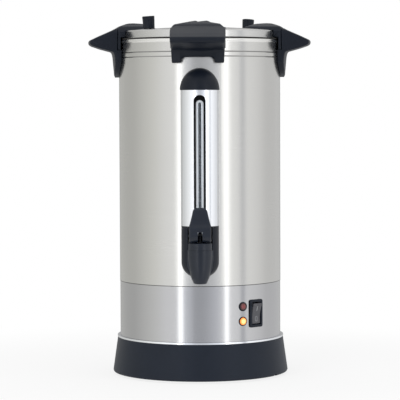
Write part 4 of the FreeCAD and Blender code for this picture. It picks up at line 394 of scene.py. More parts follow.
def slab_rings(outer, inner, half_width, edge, rows=18, edge_rows=4, shares=None):
    """Rings across a slab between an outer and an inner curve of paired points (outward, up).

    A ring is the closed loop of both curves. Across the middle it is whole. Over the last edge width on each
    side it shrinks along its normals by edge * (1 - cos t) while its side moves out by edge * sin t, for t
    from 0 to 90 degrees, so that every long edge is a quarter round.
    """
    loop = np.concatenate([outer, inner[::-1]])
    half = np.concatenate([half_width, half_width[::-1]])
    along = np.roll(loop, -1, 0) - np.roll(loop, 1, 0)
    along /= np.maximum(np.hypot(*along.T), 1e-9)[:, None]
    normal = np.stack([along[:, 1], -along[:, 0]], -1)
    area = np.sum(loop[:, 0] * np.roll(loop[:, 1], -1) - np.roll(loop[:, 0], -1) * loop[:, 1])
    normal *= np.sign(area)
    edge = np.minimum(edge, half * 0.5)
    turn = np.radians(np.linspace(90, 0, edge_rows + 1))[:, None]
    if shares is None:
        shares = np.linspace(-1, 1, rows + 2)[1:-1]
    middle = shares[:, None] * (half - edge)
    side = half - edge + edge * np.sin(turn)
    aside = np.concatenate([-side, middle, side[::-1]])
    inset = np.concatenate([edge * (1 - np.cos(turn)), 0 * middle, (edge * (1 - np.cos(turn)))[::-1]])
    flat = loop[None] - normal[None] * inset[..., None]
    return np.concatenate([aside[..., None], flat], -1)


def mesh_from(name, parts, smooth_angle):
    """An object from ring arrays in millimetres: (points, rows_close).

    Quads join the neighbouring points of a ring and of the next ring, and each ring is a closed loop. Where
    the rows close, the last ring joins the first. Otherwise each end ring is filled by quads between its first
    half and its second half, folded onto each other.
    """
    vertices, faces, start = [], [], 0
    for points, rows_close in parts:
        rows, columns = points.shape[:2]
        index = start + np.arange(rows * columns).reshape(rows, columns)
        ahead = np.roll(index, -1, 1)
        above = np.roll(index, -1, 0)
        quads = np.stack([index, ahead, np.roll(above, -1, 1), above], -1)
        faces.append((quads if rows_close else quads[:-1]).reshape(-1, 4))
        if not rows_close:
            half = columns // 2
            first = np.arange(half - 1)
            fold = np.stack([first, columns - 1 - first, columns - 2 - first, first + 1], -1)
            faces.append(index[0][fold])
            faces.append(index[-1][fold[:, ::-1]])
        vertices.append(points.reshape(-1, 3))
        start += rows * columns
    vertices, faces = np.concatenate(vertices) * MM, np.concatenate(faces)
    mesh = bpy.data.meshes.new(name)
    mesh.from_pydata(vertices, [], faces)
    shaped = bmesh.new()
    shaped.from_mesh(mesh)
    bmesh.ops.remove_doubles(shaped, verts=shaped.verts, dist=MERGE_DISTANCE)
    bmesh.ops.dissolve_degenerate(shaped, edges=shaped.edges, dist=MERGE_DISTANCE)
    bmesh.ops.recalc_face_normals(shaped, faces=shaped.faces)
    shaped.to_mesh(mesh)
    shaped.free()
    mesh.shade_smooth()
    mesh.set_sharp_from_angle(angle=math.radians(smooth_angle))
    return linked(name, mesh)


def place(name, parts, degrees, body, slot, *nodes, material=None, smooth_angle=38.0):
    """Builds a piece at its angle about the axis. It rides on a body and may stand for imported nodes."""
    turned = [(at_angle(rings, degrees), rows_close) for rings, rows_close in parts]
    piece = mesh_from(name, turned, smooth_angle)
    piece.data.materials.append(material or MATERIALS[slot])
    if nodes:
        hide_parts(*nodes)
    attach(piece, body)


# Materials
def arithmetic(operation, swapped=False):
    """A Math node between a value and whatever stands beside it."""
    return lambda value, other: value.joined(operation, other, swapped=swapped)


class Value:
    """A number socket with arithmetic: an expression adds its Math nodes."""

    __add__ = __radd__ = arithmetic("ADD")
    __sub__ = arithmetic("SUBTRACT")
    __rsub__ = arithmetic("SUBTRACT", swapped=True)
    __mul__ = __rmul__ = arithmetic("MULTIPLY")
    __truediv__ = arithmetic("DIVIDE")

    def __init__(self, nodes, socket):
        self.nodes = nodes
        self.socket = socket

    def joined(self, operation, *others, swapped=False):
        """This value and others through a Math node."""
        values = [self, *others]
        if swapped:
            values = values[::-1]
        node = self.nodes.node("ShaderNodeMath", {"operation": operation}, dict(enumerate(values)))
        return Value(self.nodes, node.outputs[0])

    def limited(self, low, high):
        """This value, held between two numbers."""
        return self.joined("MAXIMUM", low).joined("MINIMUM", high)

    def smooth(self, low, high):
        """0 below low, 1 above high and a soft step between."""
        share = ((self - low) / (high - low)).limited(0.0, 1.0)
        return share * share * (3.0 - 2.0 * share)


class Nodes:
    """A node tree and what can be added to it."""

    def __init__(self, tree):
        self.tree = tree

    def plug(self, socket, value):
        """Links a socket or value, or sets a constant."""
        if isinstance(value, Value):
            value = value.socket
        if isinstance(value, bpy.types.NodeSocket):
            self.tree.links.new(value, socket)
        elif socket.type == "RGBA" and len(value) == 3:
            socket.default_value = (*value, 1.0)
        else:
            socket.default_value = value

    def node(self, kind, settings=None, inputs=None):
        """A node with its settings first and then the values or links of its sockets."""
        made = self.tree.nodes.new(kind)
        for setting, value in (settings or {}).items():
            setattr(made, setting, value)
        for socket, value in (inputs or {}).items():
            self.plug(made.inputs[socket], value)
        return made

    def seen(self):
        """1 for what the camera, a mirror or clear glass looks at and 0 for light on matt surfaces."""
        path = self.node("ShaderNodeLightPath").outputs
        value = Value(self, path["Is Camera Ray"])
        return value.joined("MAXIMUM", path["Is Glossy Ray"]).joined("MAXIMUM", path["Is Transmission Ray"])


class Finish(Nodes):
    """A node material with a Principled shader at its end."""

    def __init__(self, name, **constants):
        self.material = bpy.data.materials.new(name)
        self.material.use_nodes = True
        super().__init__(self.material.node_tree)
        self.shader = self.tree.nodes["Principled BSDF"]
        for socket, constant in constants.items():
            self.set(socket.replace("_", " "), constant)

    def set(self, socket, value):
        """Sets or links a socket of the shader."""
        self.plug(self.shader.inputs[socket], value)

    def axes(self):
        """Object coordinates as three values."""
        where = self.node("ShaderNodeTexCoord").outputs["Object"]
        parts = self.node("ShaderNodeSeparateXYZ", inputs={0: where}).outputs
        return tuple(Value(self, part) for part in parts)

    def noise(self, scale, detail=3.0, roughness=0.5, axes=(1, 1, 1)):
        """Noise from 0 to 1 at a scale in cells per metre, times a scale for each axis."""
        where = self.node("ShaderNodeTexCoord").outputs["Object"]
        vector = self.node("ShaderNodeVectorMath", {"operation": "MULTIPLY"}, {0: where, 1: axes}).outputs[0]
        settings = {"Vector": vector, "Scale": scale, "Detail": detail, "Roughness": roughness}
        return Value(self, self.node("ShaderNodeTexNoise", {"noise_dimensions": "3D"}, settings).outputs[0])

    def mixed(self, share, first, second):
        """A colour between two colours."""
        made = self.node("ShaderNodeMix", {"data_type": "RGBA"}, {0: share, 6: first, 7: second})
        return made.outputs[2]

    def bump(self, height, strength, distance):
        """Relief from a height, into the shader's normal."""
        made = self.node("ShaderNodeBump", None,
                         {"Strength": strength, "Distance": distance, "Height": height})
        self.set("Normal", made.outputs[0])

    def around(self, height_scale):
        """Lines that run round the axis: noise that changes quickly with height and slowly round it."""
        return self.noise(1.0, 4.0, 0.6, (14.0, 14.0, height_scale))

    def upright(self, across_scale):
        """Lines that run up: noise that changes quickly across and slowly with height."""
        return self.noise(1.0, 4.0, 0.6, (across_scale, across_scale, 9.0))

    def end_in(self, shader):
        """Takes the Principled shader out and ends the material in another one."""
        self.tree.nodes.remove(self.shader)
        self.plug(self.tree.nodes["Material Output"].inputs["Surface"], shader.outputs[0])


def shade(base, factor):
    """A colour times a number."""
    return tuple(min(1.0, channel * factor) for channel in base)


def brushed(name, base, roughness, spread, line_scale, upright=False, painted_light_bands=()):
    """Steel with fine lines, slight clouds in its tone and a roughness that follows the lines.

    Each band (low, high, soft edge, level) is a height where the steel's colour is painted darker or brighter:
    painted shade, such as in a rolled groove, or a painted highlight, such as on a rim.
    """
    finish = Finish(name, Metallic=1.0, Anisotropic=spread, Anisotropic_Rotation=0.0 if upright else 0.25)
    lines = finish.upright(line_scale) if upright else finish.around(line_scale)
    clouds = finish.noise(11.0, 2.0, 0.5)
    tone = (lines * 0.6 + clouds * 0.4).limited(0.0, 1.0)
    steel = finish.mixed(tone, shade(base, 0.96), shade(base, 1.04))
    # painted shade and painted highlight: each band paints the steel's colour darker or brighter between its
    # heights
    for *heights, level in painted_light_bands:
        low, high, soft = (height * MM for height in heights)
        up = finish.axes()[2]
        inside = up.smooth(low - soft, low) - up.smooth(high, high + soft)
        steel = finish.mixed(inside, steel, shade(base, level))
    finish.set("Base Color", steel)
    finish.set("Roughness", (roughness + (lines - 0.5) * 0.05 + (clouds - 0.5) * 0.04).limited(0.06, 0.8))
    finish.bump(lines, 0.05, 0.01 * MM)
    return finish.material


def moulded(name, base, roughness, grain=2600.0, depth=0.02 * MM, specular=0.2):
    """Moulded plastic: a fine grain, and rubbed patches where the sheen changes a little."""
    finish = Finish(name, Specular_IOR_Level=specular)
    patches = finish.noise(38.0, 3.0, 0.55)
    fine = finish.noise(grain, 2.0, 0.5)
    finish.set("Base Color", finish.mixed(patches, shade(base, 0.88), shade(base, 1.14)))
    finish.set("Roughness", (roughness + (patches - 0.5) * 0.12).limited(0.1, 0.9))
    finish.bump(fine, 0.35, depth)
    return finish.material


def glass():
    """A thin glass tube: clear in the middle and denser where the wall is seen along its face, where a pale
    colour and a faint glow are painted highlight.
    """
    finish = Finish("Gauge glass", Roughness=0.1, IOR=1.47)
    edge = Value(finish, finish.node("ShaderNodeLayerWeight", None, {"Blend": 0.5}).outputs["Facing"])
    haze = finish.noise(120.0, 2.0, 0.5)
    wall = edge.smooth(0.10, 0.24)
    # painted highlight: the wall seen along its face is given a pale colour
    finish.set("Base Color", finish.mixed(wall, (0.30, 0.32, 0.35), (0.95, 0.97, 1.0)))
    finish.set("Alpha", (0.10 + wall * 0.85 + (haze - 0.5) * 0.06).limited(0.02, 1.0))
    # painted highlight: the wall glows a little, though the tube holds no lamp
    finish.set("Emission Color", finish.mixed(wall, (0.0, 0.0, 0.0), (0.34, 0.36, 0.38)))
    finish.set("Emission Strength", 1.0)
    return finish.material


def lens(name, middle, edge, centre, glow=0.0):
    """A domed lens, palest over the lamp behind its middle. A lit one glows."""
    finish = Finish(name, Roughness=0.18, Coat_Weight=0.5, Coat_Roughness=0.08, IOR=1.49)
    grain = finish.noise(900.0, 2.0, 0.5)
    where = finish.node("ShaderNodeTexCoord").outputs["Object"]
    apart = finish.node("ShaderNodeVectorMath", {"operation": "DISTANCE"}, {0: where, 1: tuple(centre * MM)})
    rim = (Value(finish, apart.outputs["Value"]) + (grain - 0.5) * 0.4 * MM).smooth(0.8 * MM, 5.2 * MM)
    tone = finish.mixed(rim, middle, edge)
    finish.set("Base Color", tone)
    if glow:
        finish.set("Emission Color", tone)
        finish.set("Emission Strength", glow)
    return finish.material


def rubber(name):
    """Dark rubber with a dusty grain."""
    return moulded(name, (0.030, 0.029, 0.028), 0.72, 1500.0, 0.05 * MM, 0.25)


def finishes():
    """The material of each of the record's slots."""
    chosen = looks()
    black = moulded("Black plastic", chosen.black, 0.40)
    return {
        # the tank's colour carries painted shade at its hem and grooves and a painted highlight on its rim
        "brushed_tank": brushed("Tank steel", chosen.tank, 0.26, 0.6, 1500.0, painted_light_bands=TANK_PAINTED_SHADE_AND_HIGHLIGHT),
        "brushed_skirt": brushed("Skirt steel", chosen.skirt, 0.20, 0.5, 1800.0),
        "lid_steel": brushed("Lid steel", chosen.lid, 0.26, 0.4, 1200.0),
        "bright_trim": brushed("Trim steel", chosen.cover, 0.16, 0.3, 1500.0),
        "bright_cover": brushed("Cover steel", chosen.cover, 0.17, 0.4, 900.0, upright=True),
        "inner_steel": brushed("Inner steel", (0.52, 0.52, 0.51), 0.32, 0.3, 900.0),
        "shield_aluminium": brushed("Shield aluminium", (0.66, 0.67, 0.68), 0.42, 0.2, 700.0),
        "screw_steel": brushed("Screw steel", (0.50, 0.50, 0.50), 0.30, 0.0, 2500.0),
        "pin_brass": brushed("Pin brass", (0.66, 0.48, 0.21), 0.28, 0.2, 1500.0),
        "handle_plastic": black,
        "tap_plastic": moulded("Tap plastic", shade(chosen.black, 1.5), 0.30, specular=0.35),
        "knob_plastic": moulded("Knob plastic", shade(chosen.black, 1.1), 0.34),
        "switch_plastic": moulded("Switch plastic", shade(chosen.black, 1.3), 0.42),
        "rocker_plastic": moulded("Rocker plastic", (0.075, 0.076, 0.088), 0.30, specular=0.5),
        "base_plastic": moulded("Base plastic", chosen.base, 0.46, 2000.0, 0.04 * MM),
        "dark_channel": moulded("Channel plastic", (0.018, 0.019, 0.022), 0.6),
        "bakelite": moulded("Bakelite", (0.055, 0.030, 0.020), 0.45, 1200.0),
        "seal_rubber": rubber("Seal rubber"),
        "gauge_glass": glass(),
        "red_lens": lens("Red lens", chosen.red, shade(chosen.red, 0.12), lamp_front("red")),
        "amber_lens": lens("Amber lens", (1.0, 0.72, 0.26), chosen.amber, lamp_front("amber"), chosen.glow),
    }


class URN_OT_finishes(bpy.types.Operator):
    """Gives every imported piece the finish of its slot"""

    bl_idname = "urn.finishes"
    bl_label = "Finishes"

    def execute(self, context):
        made = finishes()
        for node in frame["nodes"].values():
            for holder in node.material_slots:
                slot = holder.material.name.split(".")[0]
                MATERIALS[slot] = made[slot]
                holder.material = made[slot]
        return {"FINISHED"}


def handle_sides(foot, thicker=0.0):
    """The side view of a handle as two paired curves, from its lower end at foot up to its top.

    Outside: the leg, the underside of the wing, its round tip and its sloping back. Inside: the tank's wall
    up to the lid clip's foot, and above it the face that the clip slides past.
    """
    size = sizes()
    leg_foot, wing_foot = size.leg_foot_reach + thicker, size.wing_under
    outer = finer(rounded([
        (leg_foot - 1.2, foot),
        (leg_foot, foot + 2.6, 3),
        (size.leg_reach, wing_foot - 6, 30),
        (size.leg_reach + 1.6, wing_foot - 0.8, 4),
        *WING_UNDERSIDE,
        (HANDLE_HIGH[0] - WITHIN, WING_TIP[0], 3.6),
        (HANDLE_HIGH[0] - 3 * WITHIN, WING_TIP[1], 3.6),
        *WING_BACK,
        (size.handle_part + 0.3, HANDLE_HIGH[2] - WITHIN),
    ]), step=1.4)
    seat = CLIP_LOW[2] - size.seat_gap
    at = int(np.searchsorted(outer[:, 1], seat))
    share = (seat - outer[at - 1, 1]) / (outer[at, 1] - outer[at - 1, 1])
    point = outer[at - 1] + (outer[at] - outer[at - 1]) * share
    outer = np.concatenate([outer[:at], [point, point], outer[at:]])
    inside = np.where(np.arange(len(outer)) <= at, size.tank_radius + size.seat_gap, size.handle_part)
    return outer, np.stack([inside, outer[:, 1]], -1)


def handle_width(height, arched):
    """Half the width of a handle at a height: a round end, sides that widen evenly and soft top corners."""
    size = sizes()
    centre = size.handle_foot + math.sqrt(size.handle_round ** 2 - size.handle_foot_half ** 2)
    end = np.sqrt(np.maximum(size.handle_round ** 2 - (centre - height) ** 2, 0))
    low = BRACKET_LOW[2] if arched else size.handle_foot
    corner = size.handle_corner
    share = np.clip((height - low) / (HANDLE_HIGH[2] - corner - low), 0, 1)
    side = size.handle_foot_half + (size.handle_half - size.handle_foot_half) * share
    half = side if arched else np.where(height < size.handle_foot, end, side)
    return half - corner_loss(height - (HANDLE_HIGH[2] - corner), corner)


def about_axis(rings):
    """Rings (aside, reach, up) laid round the tank's axis: outward = sqrt(reach^2 - aside^2)."""
    aside, reach, up = np.moveaxis(rings, -1, 0)
    return np.stack([aside, np.sqrt(np.maximum(reach ** 2 - aside ** 2, 0)), up], -1)


def handle_rings(arched):
    """Rings of a handle, in (aside, outward, up), before it is turned to its place.

    Under the arch of the front bracket the lower end rises by a quarter round on each side.
    """
    size = sizes()
    foot = BRACKET_LOW[2] if arched else HANDLE_LOW[2]
    outer, inner = handle_sides(foot, size.bracket_extra if arched else 0.0)
    half = handle_width(outer[:, 1], arched)
    rings = slab_rings(outer, inner, half, size.soft_edge, rows=64 if arched else 26)
    if arched:
        aside, up = rings[..., 0], rings[..., 2]
        rise = size.arch_top - foot
        share = np.clip((size.arch_half - np.abs(aside)) / rise, 0, 1)
        lift = rise * np.sqrt(np.maximum(1 - (1 - share) ** 2, 0))
        end = size.wing_under - size.arch_room
        rings[..., 2] = up + lift * np.clip((end - up) / (end - foot), 0, 1)
    return about_axis(rings)


class URN_OT_handles(bpy.types.Operator):
    """Four moulded handles on the tank's rim, the front one arched over the gauge"""

    bl_idname = "urn.handles"
    bl_label = "Handles"

    def execute(self, context):
        for side, degrees in HANDLE_ANGLES.items():
            node = "front_bracket" if side == "front" else side + "_handle"
            parts = [(handle_rings(side == "front"), False)]
            place(side + "_wing", parts, degrees, "urn", "handle_plastic", node)
        return {"FINISHED"}


def dome(radius):
    """Height of the lid's outer face: its top less radius squared over twice the dome's radius."""
    size = sizes()
    top = edges("lid")[1][2]
    crown = size.lid_radius - 2
    fall = (top - size.lid_edge) / crown ** 2
    return top - fall * np.minimum(radius, crown) ** 2


def hump_height(aside):
    """Height of a lid clip's humps: the line through their corners, averaged under a cosine bell."""
    points = np.array(CLIP_HUMPS)
    across = np.linspace(-HUMP_REACH, HUMP_REACH, round(2 * HUMP_REACH / HUMP_STEP) + 1)
    bell = np.hanning(2 * HUMP_STEPS + 1)
    humps = np.interp(across, points[:, 0], points[:, 1])
    humps = np.convolve(np.pad(humps, HUMP_STEPS, "edge"), bell / bell.sum(), "valid")
    return np.interp(aside, across, humps)


def clip_rings():
    """Rings of a lid clip, in (aside, outward, up), before it is turned to its place.

    Its top is the lower of two curves, softly joined: the side view's arch and the front view's uneven humps.
    Its underside lies on the lid, drops down the lid's side and stands off the rim.
    """
    size = sizes()
    top, foot = CLIP_HIGH[2], CLIP_LOW[2] + WITHIN
    inside, outside = CLIP_LOW[0] + WITHIN, CLIP_HIGH[0] - WITHIN
    outer = finer(rounded([
        (inside, size.lid_edge + 1.2),
        (inside, top - 6.4, 1.2),
        (inside + 5, top - 1.6, 9),
        (size.clip_crest, top, 10),
        (CLIP_FALL, top - 0.9, 14),
        (CLIP_TURN, top - 4.8, 12),
        (outside, top - 7.6, 2.4),
        (outside, foot),
    ]), step=1.2)
    side, lip = size.lid_radius + size.seat_gap, size.lip_top + size.seat_gap
    under = rounded([
        (inside, size.lid_edge + 0.8),
        (side, size.lid_edge + size.seat_gap, 1.5),
        (side, lip, 0.3),
        (size.lip_radius, lip, 0.8),
        (size.lip_radius, foot),
    ])
    run = run_along(outer)
    inner = at_shares(under, run / run[-1])
    half = np.full(len(outer), size.handle_half - WITHIN)
    rings = slab_rings(outer, inner, half, size.soft_edge, rows=60)
    aside, outward, up = np.moveaxis(rings, -1, 0)
    lower = soft_lower(up - top, hump_height(aside) - top, soft=0.45) + top
    on_lid = dome(outward) + size.seat_gap
    over = outward < size.lid_radius
    raised = np.where(over, np.maximum(lower, on_lid + 0.4), lower)
    is_outer = np.arange(rings.shape[1]) < len(outer)
    rests = ~is_outer & (up > size.lid_edge - 1) & over
    new_up = np.where(is_outer, raised, np.where(rests, on_lid, up))
    return about_axis(np.stack([aside, outward, new_up], -1))


class URN_OT_lid_clips(bpy.types.Operator):
    """Four humped clips that hook over the lid's edge"""

    bl_idname = "urn.lid_clips"
    bl_label = "Lid clips"

    def execute(self, context):
        for side, degrees in HANDLE_ANGLES.items():
            parts = [(clip_rings(), False)]
            place(side + "_clip_arch", parts, degrees, "lid_assembly", "handle_plastic", side + "_lid_clip")
        return {"FINISHED"}


def tap_rings():
    """Rings of the tap's body about the valve's axis: each is its section, up the outside and down the bores.

    The outside at an angle is the larger of the barrel's radius and of the cheeks' box, softly joined.
    """
    size = sizes()
    top, mouth = size.barrel_top - WITHIN, BODY_LOW[2] + WITHIN
    barrel = size.tap_radius - WITHIN
    outside = finer(rounded([
        (size.spout_bore + 0.3, mouth),
        (size.spout_radius, mouth, 2.4),
        *SPOUT_CURVE,
        (barrel, size.tap_waist, 40),
        (barrel, top),
    ]), step=1.0)
    bore = rounded([
        (VALVE_BORE, top),
        (VALVE_BORE, VALVE_SEAT, 0.2),
        (size.spout_bore, VALVE_SEAT, 0.2),
        (size.spout_bore, mouth + 0.3),
    ])
    section = np.concatenate([outside, bore])
    radius, height = section.T
    around = circle(144)
    spout, cheek = size.spout_radius, size.cheek_half
    width = np.interp(height, [mouth, mouth + 1, CHEEK_START, size.tap_waist, top],
                      [spout, spout, size.tap_radius, cheek, cheek])
    front, back = size.cheek_front - size.tap_reach, size.tap_reach - size.cheek_back
    depth = np.where(np.sin(around) > 0, front, back)
    across = width / np.maximum(np.abs(np.cos(around)), 1e-4)
    along = depth / np.maximum(np.abs(np.sin(around)), 1e-4)
    far = 60
    box = soft_lower(np.minimum(across, far), np.minimum(along, far), soft=0.5)
    joined = -soft_lower(-box, -radius, soft=0.5)
    blended = radius + (joined - radius) * np.sqrt(np.clip((height - mouth) / 0.7, 0, 1))
    is_outside = np.arange(len(section)) < len(outside)
    radius = np.where(is_outside, np.minimum(blended, cheek - WITHIN), radius)
    return np.stack([radius * np.cos(around), size.tap_reach + radius * np.sin(around),
                     np.broadcast_to(height, radius.shape)], -1)


def block_rings(aside, back, front, low, high, edge, rows=6):
    """Rings of a block with soft edges, back to front outward."""
    corner = 2 * edge
    outer = rounded([(back, low), (front, low, corner), (front, (low + high) / 2)])
    upper = rounded([(front, (low + high) / 2), (front, high, corner), (back, high)])
    outer = np.concatenate([outer, upper[1:]])
    inner = np.stack([np.full(len(outer), back), np.linspace(low, high, len(outer))], -1)
    inner[0] = (back, low)
    inner[-1] = (back, high)
    return slab_rings(outer, inner, np.full(len(outer), aside), edge, rows)


def lathed_rings(profile, height, steps):
    """Rings of a profile (radius, outward) turned about a level axis at a height.

    Point = (radius * cos a, outward, height + radius * sin a), for angles a round the axis.
    """
    radius, outward = profile.T
    around = circle(steps)
    aside = radius * np.cos(around)
    return np.stack([aside, np.broadcast_to(outward, aside.shape), height + radius * np.sin(around)], -1)


class URN_OT_tap(bpy.types.Operator):
    """The tap's body: an upright barrel with soft cheeks, a shank to the tank and the sight tube's riser"""

    bl_idname = "urn.tap"
    bl_label = "Tap body"

    def execute(self, context):
        size = sizes()
        riser = block_rings(RISER_HALF, RISER_BACK, RISER_FRONT, RISER_FOOT, BODY_HIGH[2] - WITHIN, edge=0.8)
        profile = rounded([(0, SHANK_INNER), (SHANK_RADIUS, SHANK_INNER, 0.8), (SHANK_RADIUS, SHANK_OUTER),
                           (0, SHANK_OUTER)])
        shank = lathed_rings(profile, SHANK_HEIGHT, steps=48)
        cheek_middle = (size.cheek_half + BONNET_HIGH[0]) / 2
        cheek_half = (size.cheek_half - BONNET_HIGH[0]) / 2 - 0.08
        cheek = block_rings(cheek_half, size.cheek_back, size.cheek_front, size.barrel_top - 1,
                            COVER_LOW[2] - 1.1, edge=0.4)
        parts = [(tap_rings(), True), (riser, False), (shank, True)]
        parts += [(cheek + (side * cheek_middle, 0, 0), False) for side in (1, -1)]
        place("tap_barrel", parts, FRONT, "urn", "tap_plastic", "tap_body")
        return {"FINISHED"}


def lever_rings():
    """Rings of the lever: a slab between its front and back curves, narrower towards its rounded top.

    The rings in the middle rise to the top of the slot, which leaves room for the stem's eye.
    """
    size = sizes()
    hub, pin = size.tap_reach + size.hub_offset, middle_height("lever_pin")
    top, shoulder = LEVER_HIGH[2], size.lever_shoulder
    radius = size.hub_radius - WITHIN

    def hub_arc(start, end, count):
        """The hub's round between two angles."""
        turn = np.radians(np.linspace(start, end, count))
        return np.stack([hub + radius * np.cos(turn), pin + radius * np.sin(turn)], -1)

    front = np.concatenate([hub_arc(-90, 0, 16), rounded([
        (hub + radius, pin + 1),
        (hub + radius, shoulder - 4, 30),
        (hub + 6.2, shoulder + 4, 30),
        (hub + 5.4, top - 3, 3),
        (hub + 3.6, top - WITHIN),
    ])])
    back = np.concatenate([hub_arc(-90, -215, 24), rounded([
        (hub - 5.2, pin + 9.2),
        (hub + 0.6, shoulder, 16),
        (hub + 0.9, top - 2, 2),
        (hub + 2.6, top - WITHIN),
    ])])
    even = np.linspace(0, 1, 90)
    front, back = at_shares(front, even), at_shares(back, even)
    middle = (front[:, 1] + back[:, 1]) / 2
    half = LEVER_HIGH[0] - WITHIN
    taper = np.clip((middle - shoulder) / (top - shoulder), 0, 1)
    corner = 4
    widths = half + (size.lever_top_half + 0.9 - half) * taper ** 0.8
    widths -= corner_loss(middle - (top - corner), corner) * 0.6
    edge, edge_rows, side_rows, slot_rows = 1.6, 5, 8, 5
    cut, last = size.lever_slot_half / (half - edge), 0.92
    shares = np.concatenate([np.linspace(-last, -cut, side_rows), np.linspace(-cut, cut, slot_rows),
                             np.linspace(cut, last, side_rows)])
    rings = slab_rings(front, back, widths, edge, edge_rows=edge_rows, shares=shares)
    first = edge_rows + 1 + side_rows
    slot = rings[first:first + slot_rows, :, 2]
    np.maximum(slot, pin + size.lever_slot_top, out=slot)
    return rings


class URN_OT_lever(bpy.types.Operator):
    """The tap's lever: a round hub with a slot for the stem's eye and a paddle above it"""

    bl_idname = "urn.lever"
    bl_label = "Tap lever"

    def execute(self, context):
        place("lever_paddle", [(lever_rings(), False)], FRONT, "lever", "tap_plastic", "tap_lever")
        return {"FINISHED"}


def bar_rings(half, low, high, back, front, edge=0.15):
    """Rings of a flat bar between two heights and two distances from the axis."""
    outer = np.array([(front, low), (front, (low + high) / 2), (front, high)])
    inner = np.array([(back, low), (back, (low + high) / 2), (back, high)])
    return slab_rings(outer, inner, np.full(3, half), edge, rows=2, edge_rows=2)


class URN_OT_gauge(bpy.types.Operator):
    """The strip behind the sight tube with its ladder of marks"""

    bl_idname = "urn.gauge"
    bl_label = "Gauge scale"

    def execute(self, context):
        size = sizes()
        strip = bar_rings(size.scale_half, size.scale_low, SCALE_TOP, SCALE_BACK + 0.6, SCALE_BACK + 1.4)
        grey = moulded("Strip plastic", (0.10, 0.105, 0.115), 0.5)
        place("gauge_strip", [(strip, False)], FRONT, "urn", "dark_channel", material=grey)
        marks = [bar_rings(size.scale_half * 0.8, height - MARK_HALF, height + MARK_HALF, SCALE_BACK + 1.2,
                           SCALE_BACK + 1.6, edge=0.1)
                 for height in np.linspace(size.mark_low, size.mark_high, MARK_COUNT)]
        pale = moulded("Mark paint", looks().mark, 0.5)
        place("gauge_marks", [(mark, False) for mark in marks], FRONT, "urn", "dark_channel", material=pale)
        return {"FINISHED"}


def lamp_front(lamp):
    """The top of a lamp's domed lens."""
    size = sizes()
    front = np.array([0.0, size.skirt_radius + DOME_START + DOME_RISE, middle_height(lamp + "_lamp_lens")])
    return at_angle(front, FRONT + size.lamp_angle)


class URN_OT_lamps(bpy.types.Operator):
    """Two indicator lamps: domed lenses in thin dark bezels"""

    bl_idname = "urn.lamps"
    bl_label = "Indicator lamps"

    def execute(self, context):
        size = sizes()
        radius, barrel, lip, seat = size.lens_radius, size.lamp_barrel, size.lamp_radius, 0.06
        bezel = rounded([
            (barrel - 1, -LAMP_DEPTH, 0.1), (barrel, -LAMP_DEPTH, 0.1), (barrel, seat), (lip, seat, 0.1),
            (lip, 0.5, 0.3), (radius + 0.45, 1.35, 0.3), (radius + 0.1, 1.0, 0.1), (radius + 0.1, 0.25, 0.05),
            (barrel - 1, 0.25, 0.05)], steps=3, closed=True)
        turn = np.radians(np.linspace(8, 90, 12))
        lens_side = np.concatenate([
            [(0, STEM_END), (STEM_RADIUS, STEM_END), (STEM_RADIUS, 0.3), (radius, 0.3)],
            np.stack([radius * np.cos(turn), DOME_START + DOME_RISE * np.sin(turn)], -1)])
        lens_side[-1, 0] = 0
        degrees, skirt = FRONT + size.lamp_angle, (0, size.skirt_radius)
        bezels = []
        for lamp in ("red", "amber"):
            height = middle_height(lamp + "_lamp_lens")
            bezels.append((lathed_rings(bezel + skirt, height, steps=40), True))
            dome_part = [(lathed_rings(lens_side + skirt, height, steps=40), True)]
            place(lamp + "_lens", dome_part, degrees, "urn", lamp + "_lens", lamp + "_lamp_lens",
                  smooth_angle=50.0)
        place("lamp_rims", bezels, degrees, "urn", "switch_plastic", "lamp_bezels")
        return {"FINISHED"}


def frame_rings(half_width, half_length, corner, section, middle, reach):
    """Rings of a section (in, out) carried round a rounded rectangle: each point lies inwards of the path."""
    path = rounded([(-half_width, -half_length, corner), (half_width, -half_length, corner),
                    (half_width, half_length, corner), (-half_width, half_length, corner)], 8, closed=True)
    along = np.roll(path, -1, 0) - np.roll(path, 1, 0)
    along /= np.hypot(*along.T)[:, None]
    inward = np.stack([-along[:, 1], along[:, 0]], -1)
    flat = path[:, None] + inward[:, None] * section[None, :, :1]
    out = np.broadcast_to(section[None, :, 1], flat.shape[:2])
    return np.stack([flat[..., 0], reach + out, middle + flat[..., 1]], -1)


def tilted(rings, pivot, middle, degrees):
    """Points (aside, outward, up) leaned about a level line at (pivot, middle), their upper end outwards."""
    turn = math.radians(degrees)
    out, up = rings[..., 1] - pivot, rings[..., 2] - middle
    return np.stack([rings[..., 0], pivot + out * math.cos(turn) + up * math.sin(turn),
                     middle - out * math.sin(turn) + up * math.cos(turn)], -1)


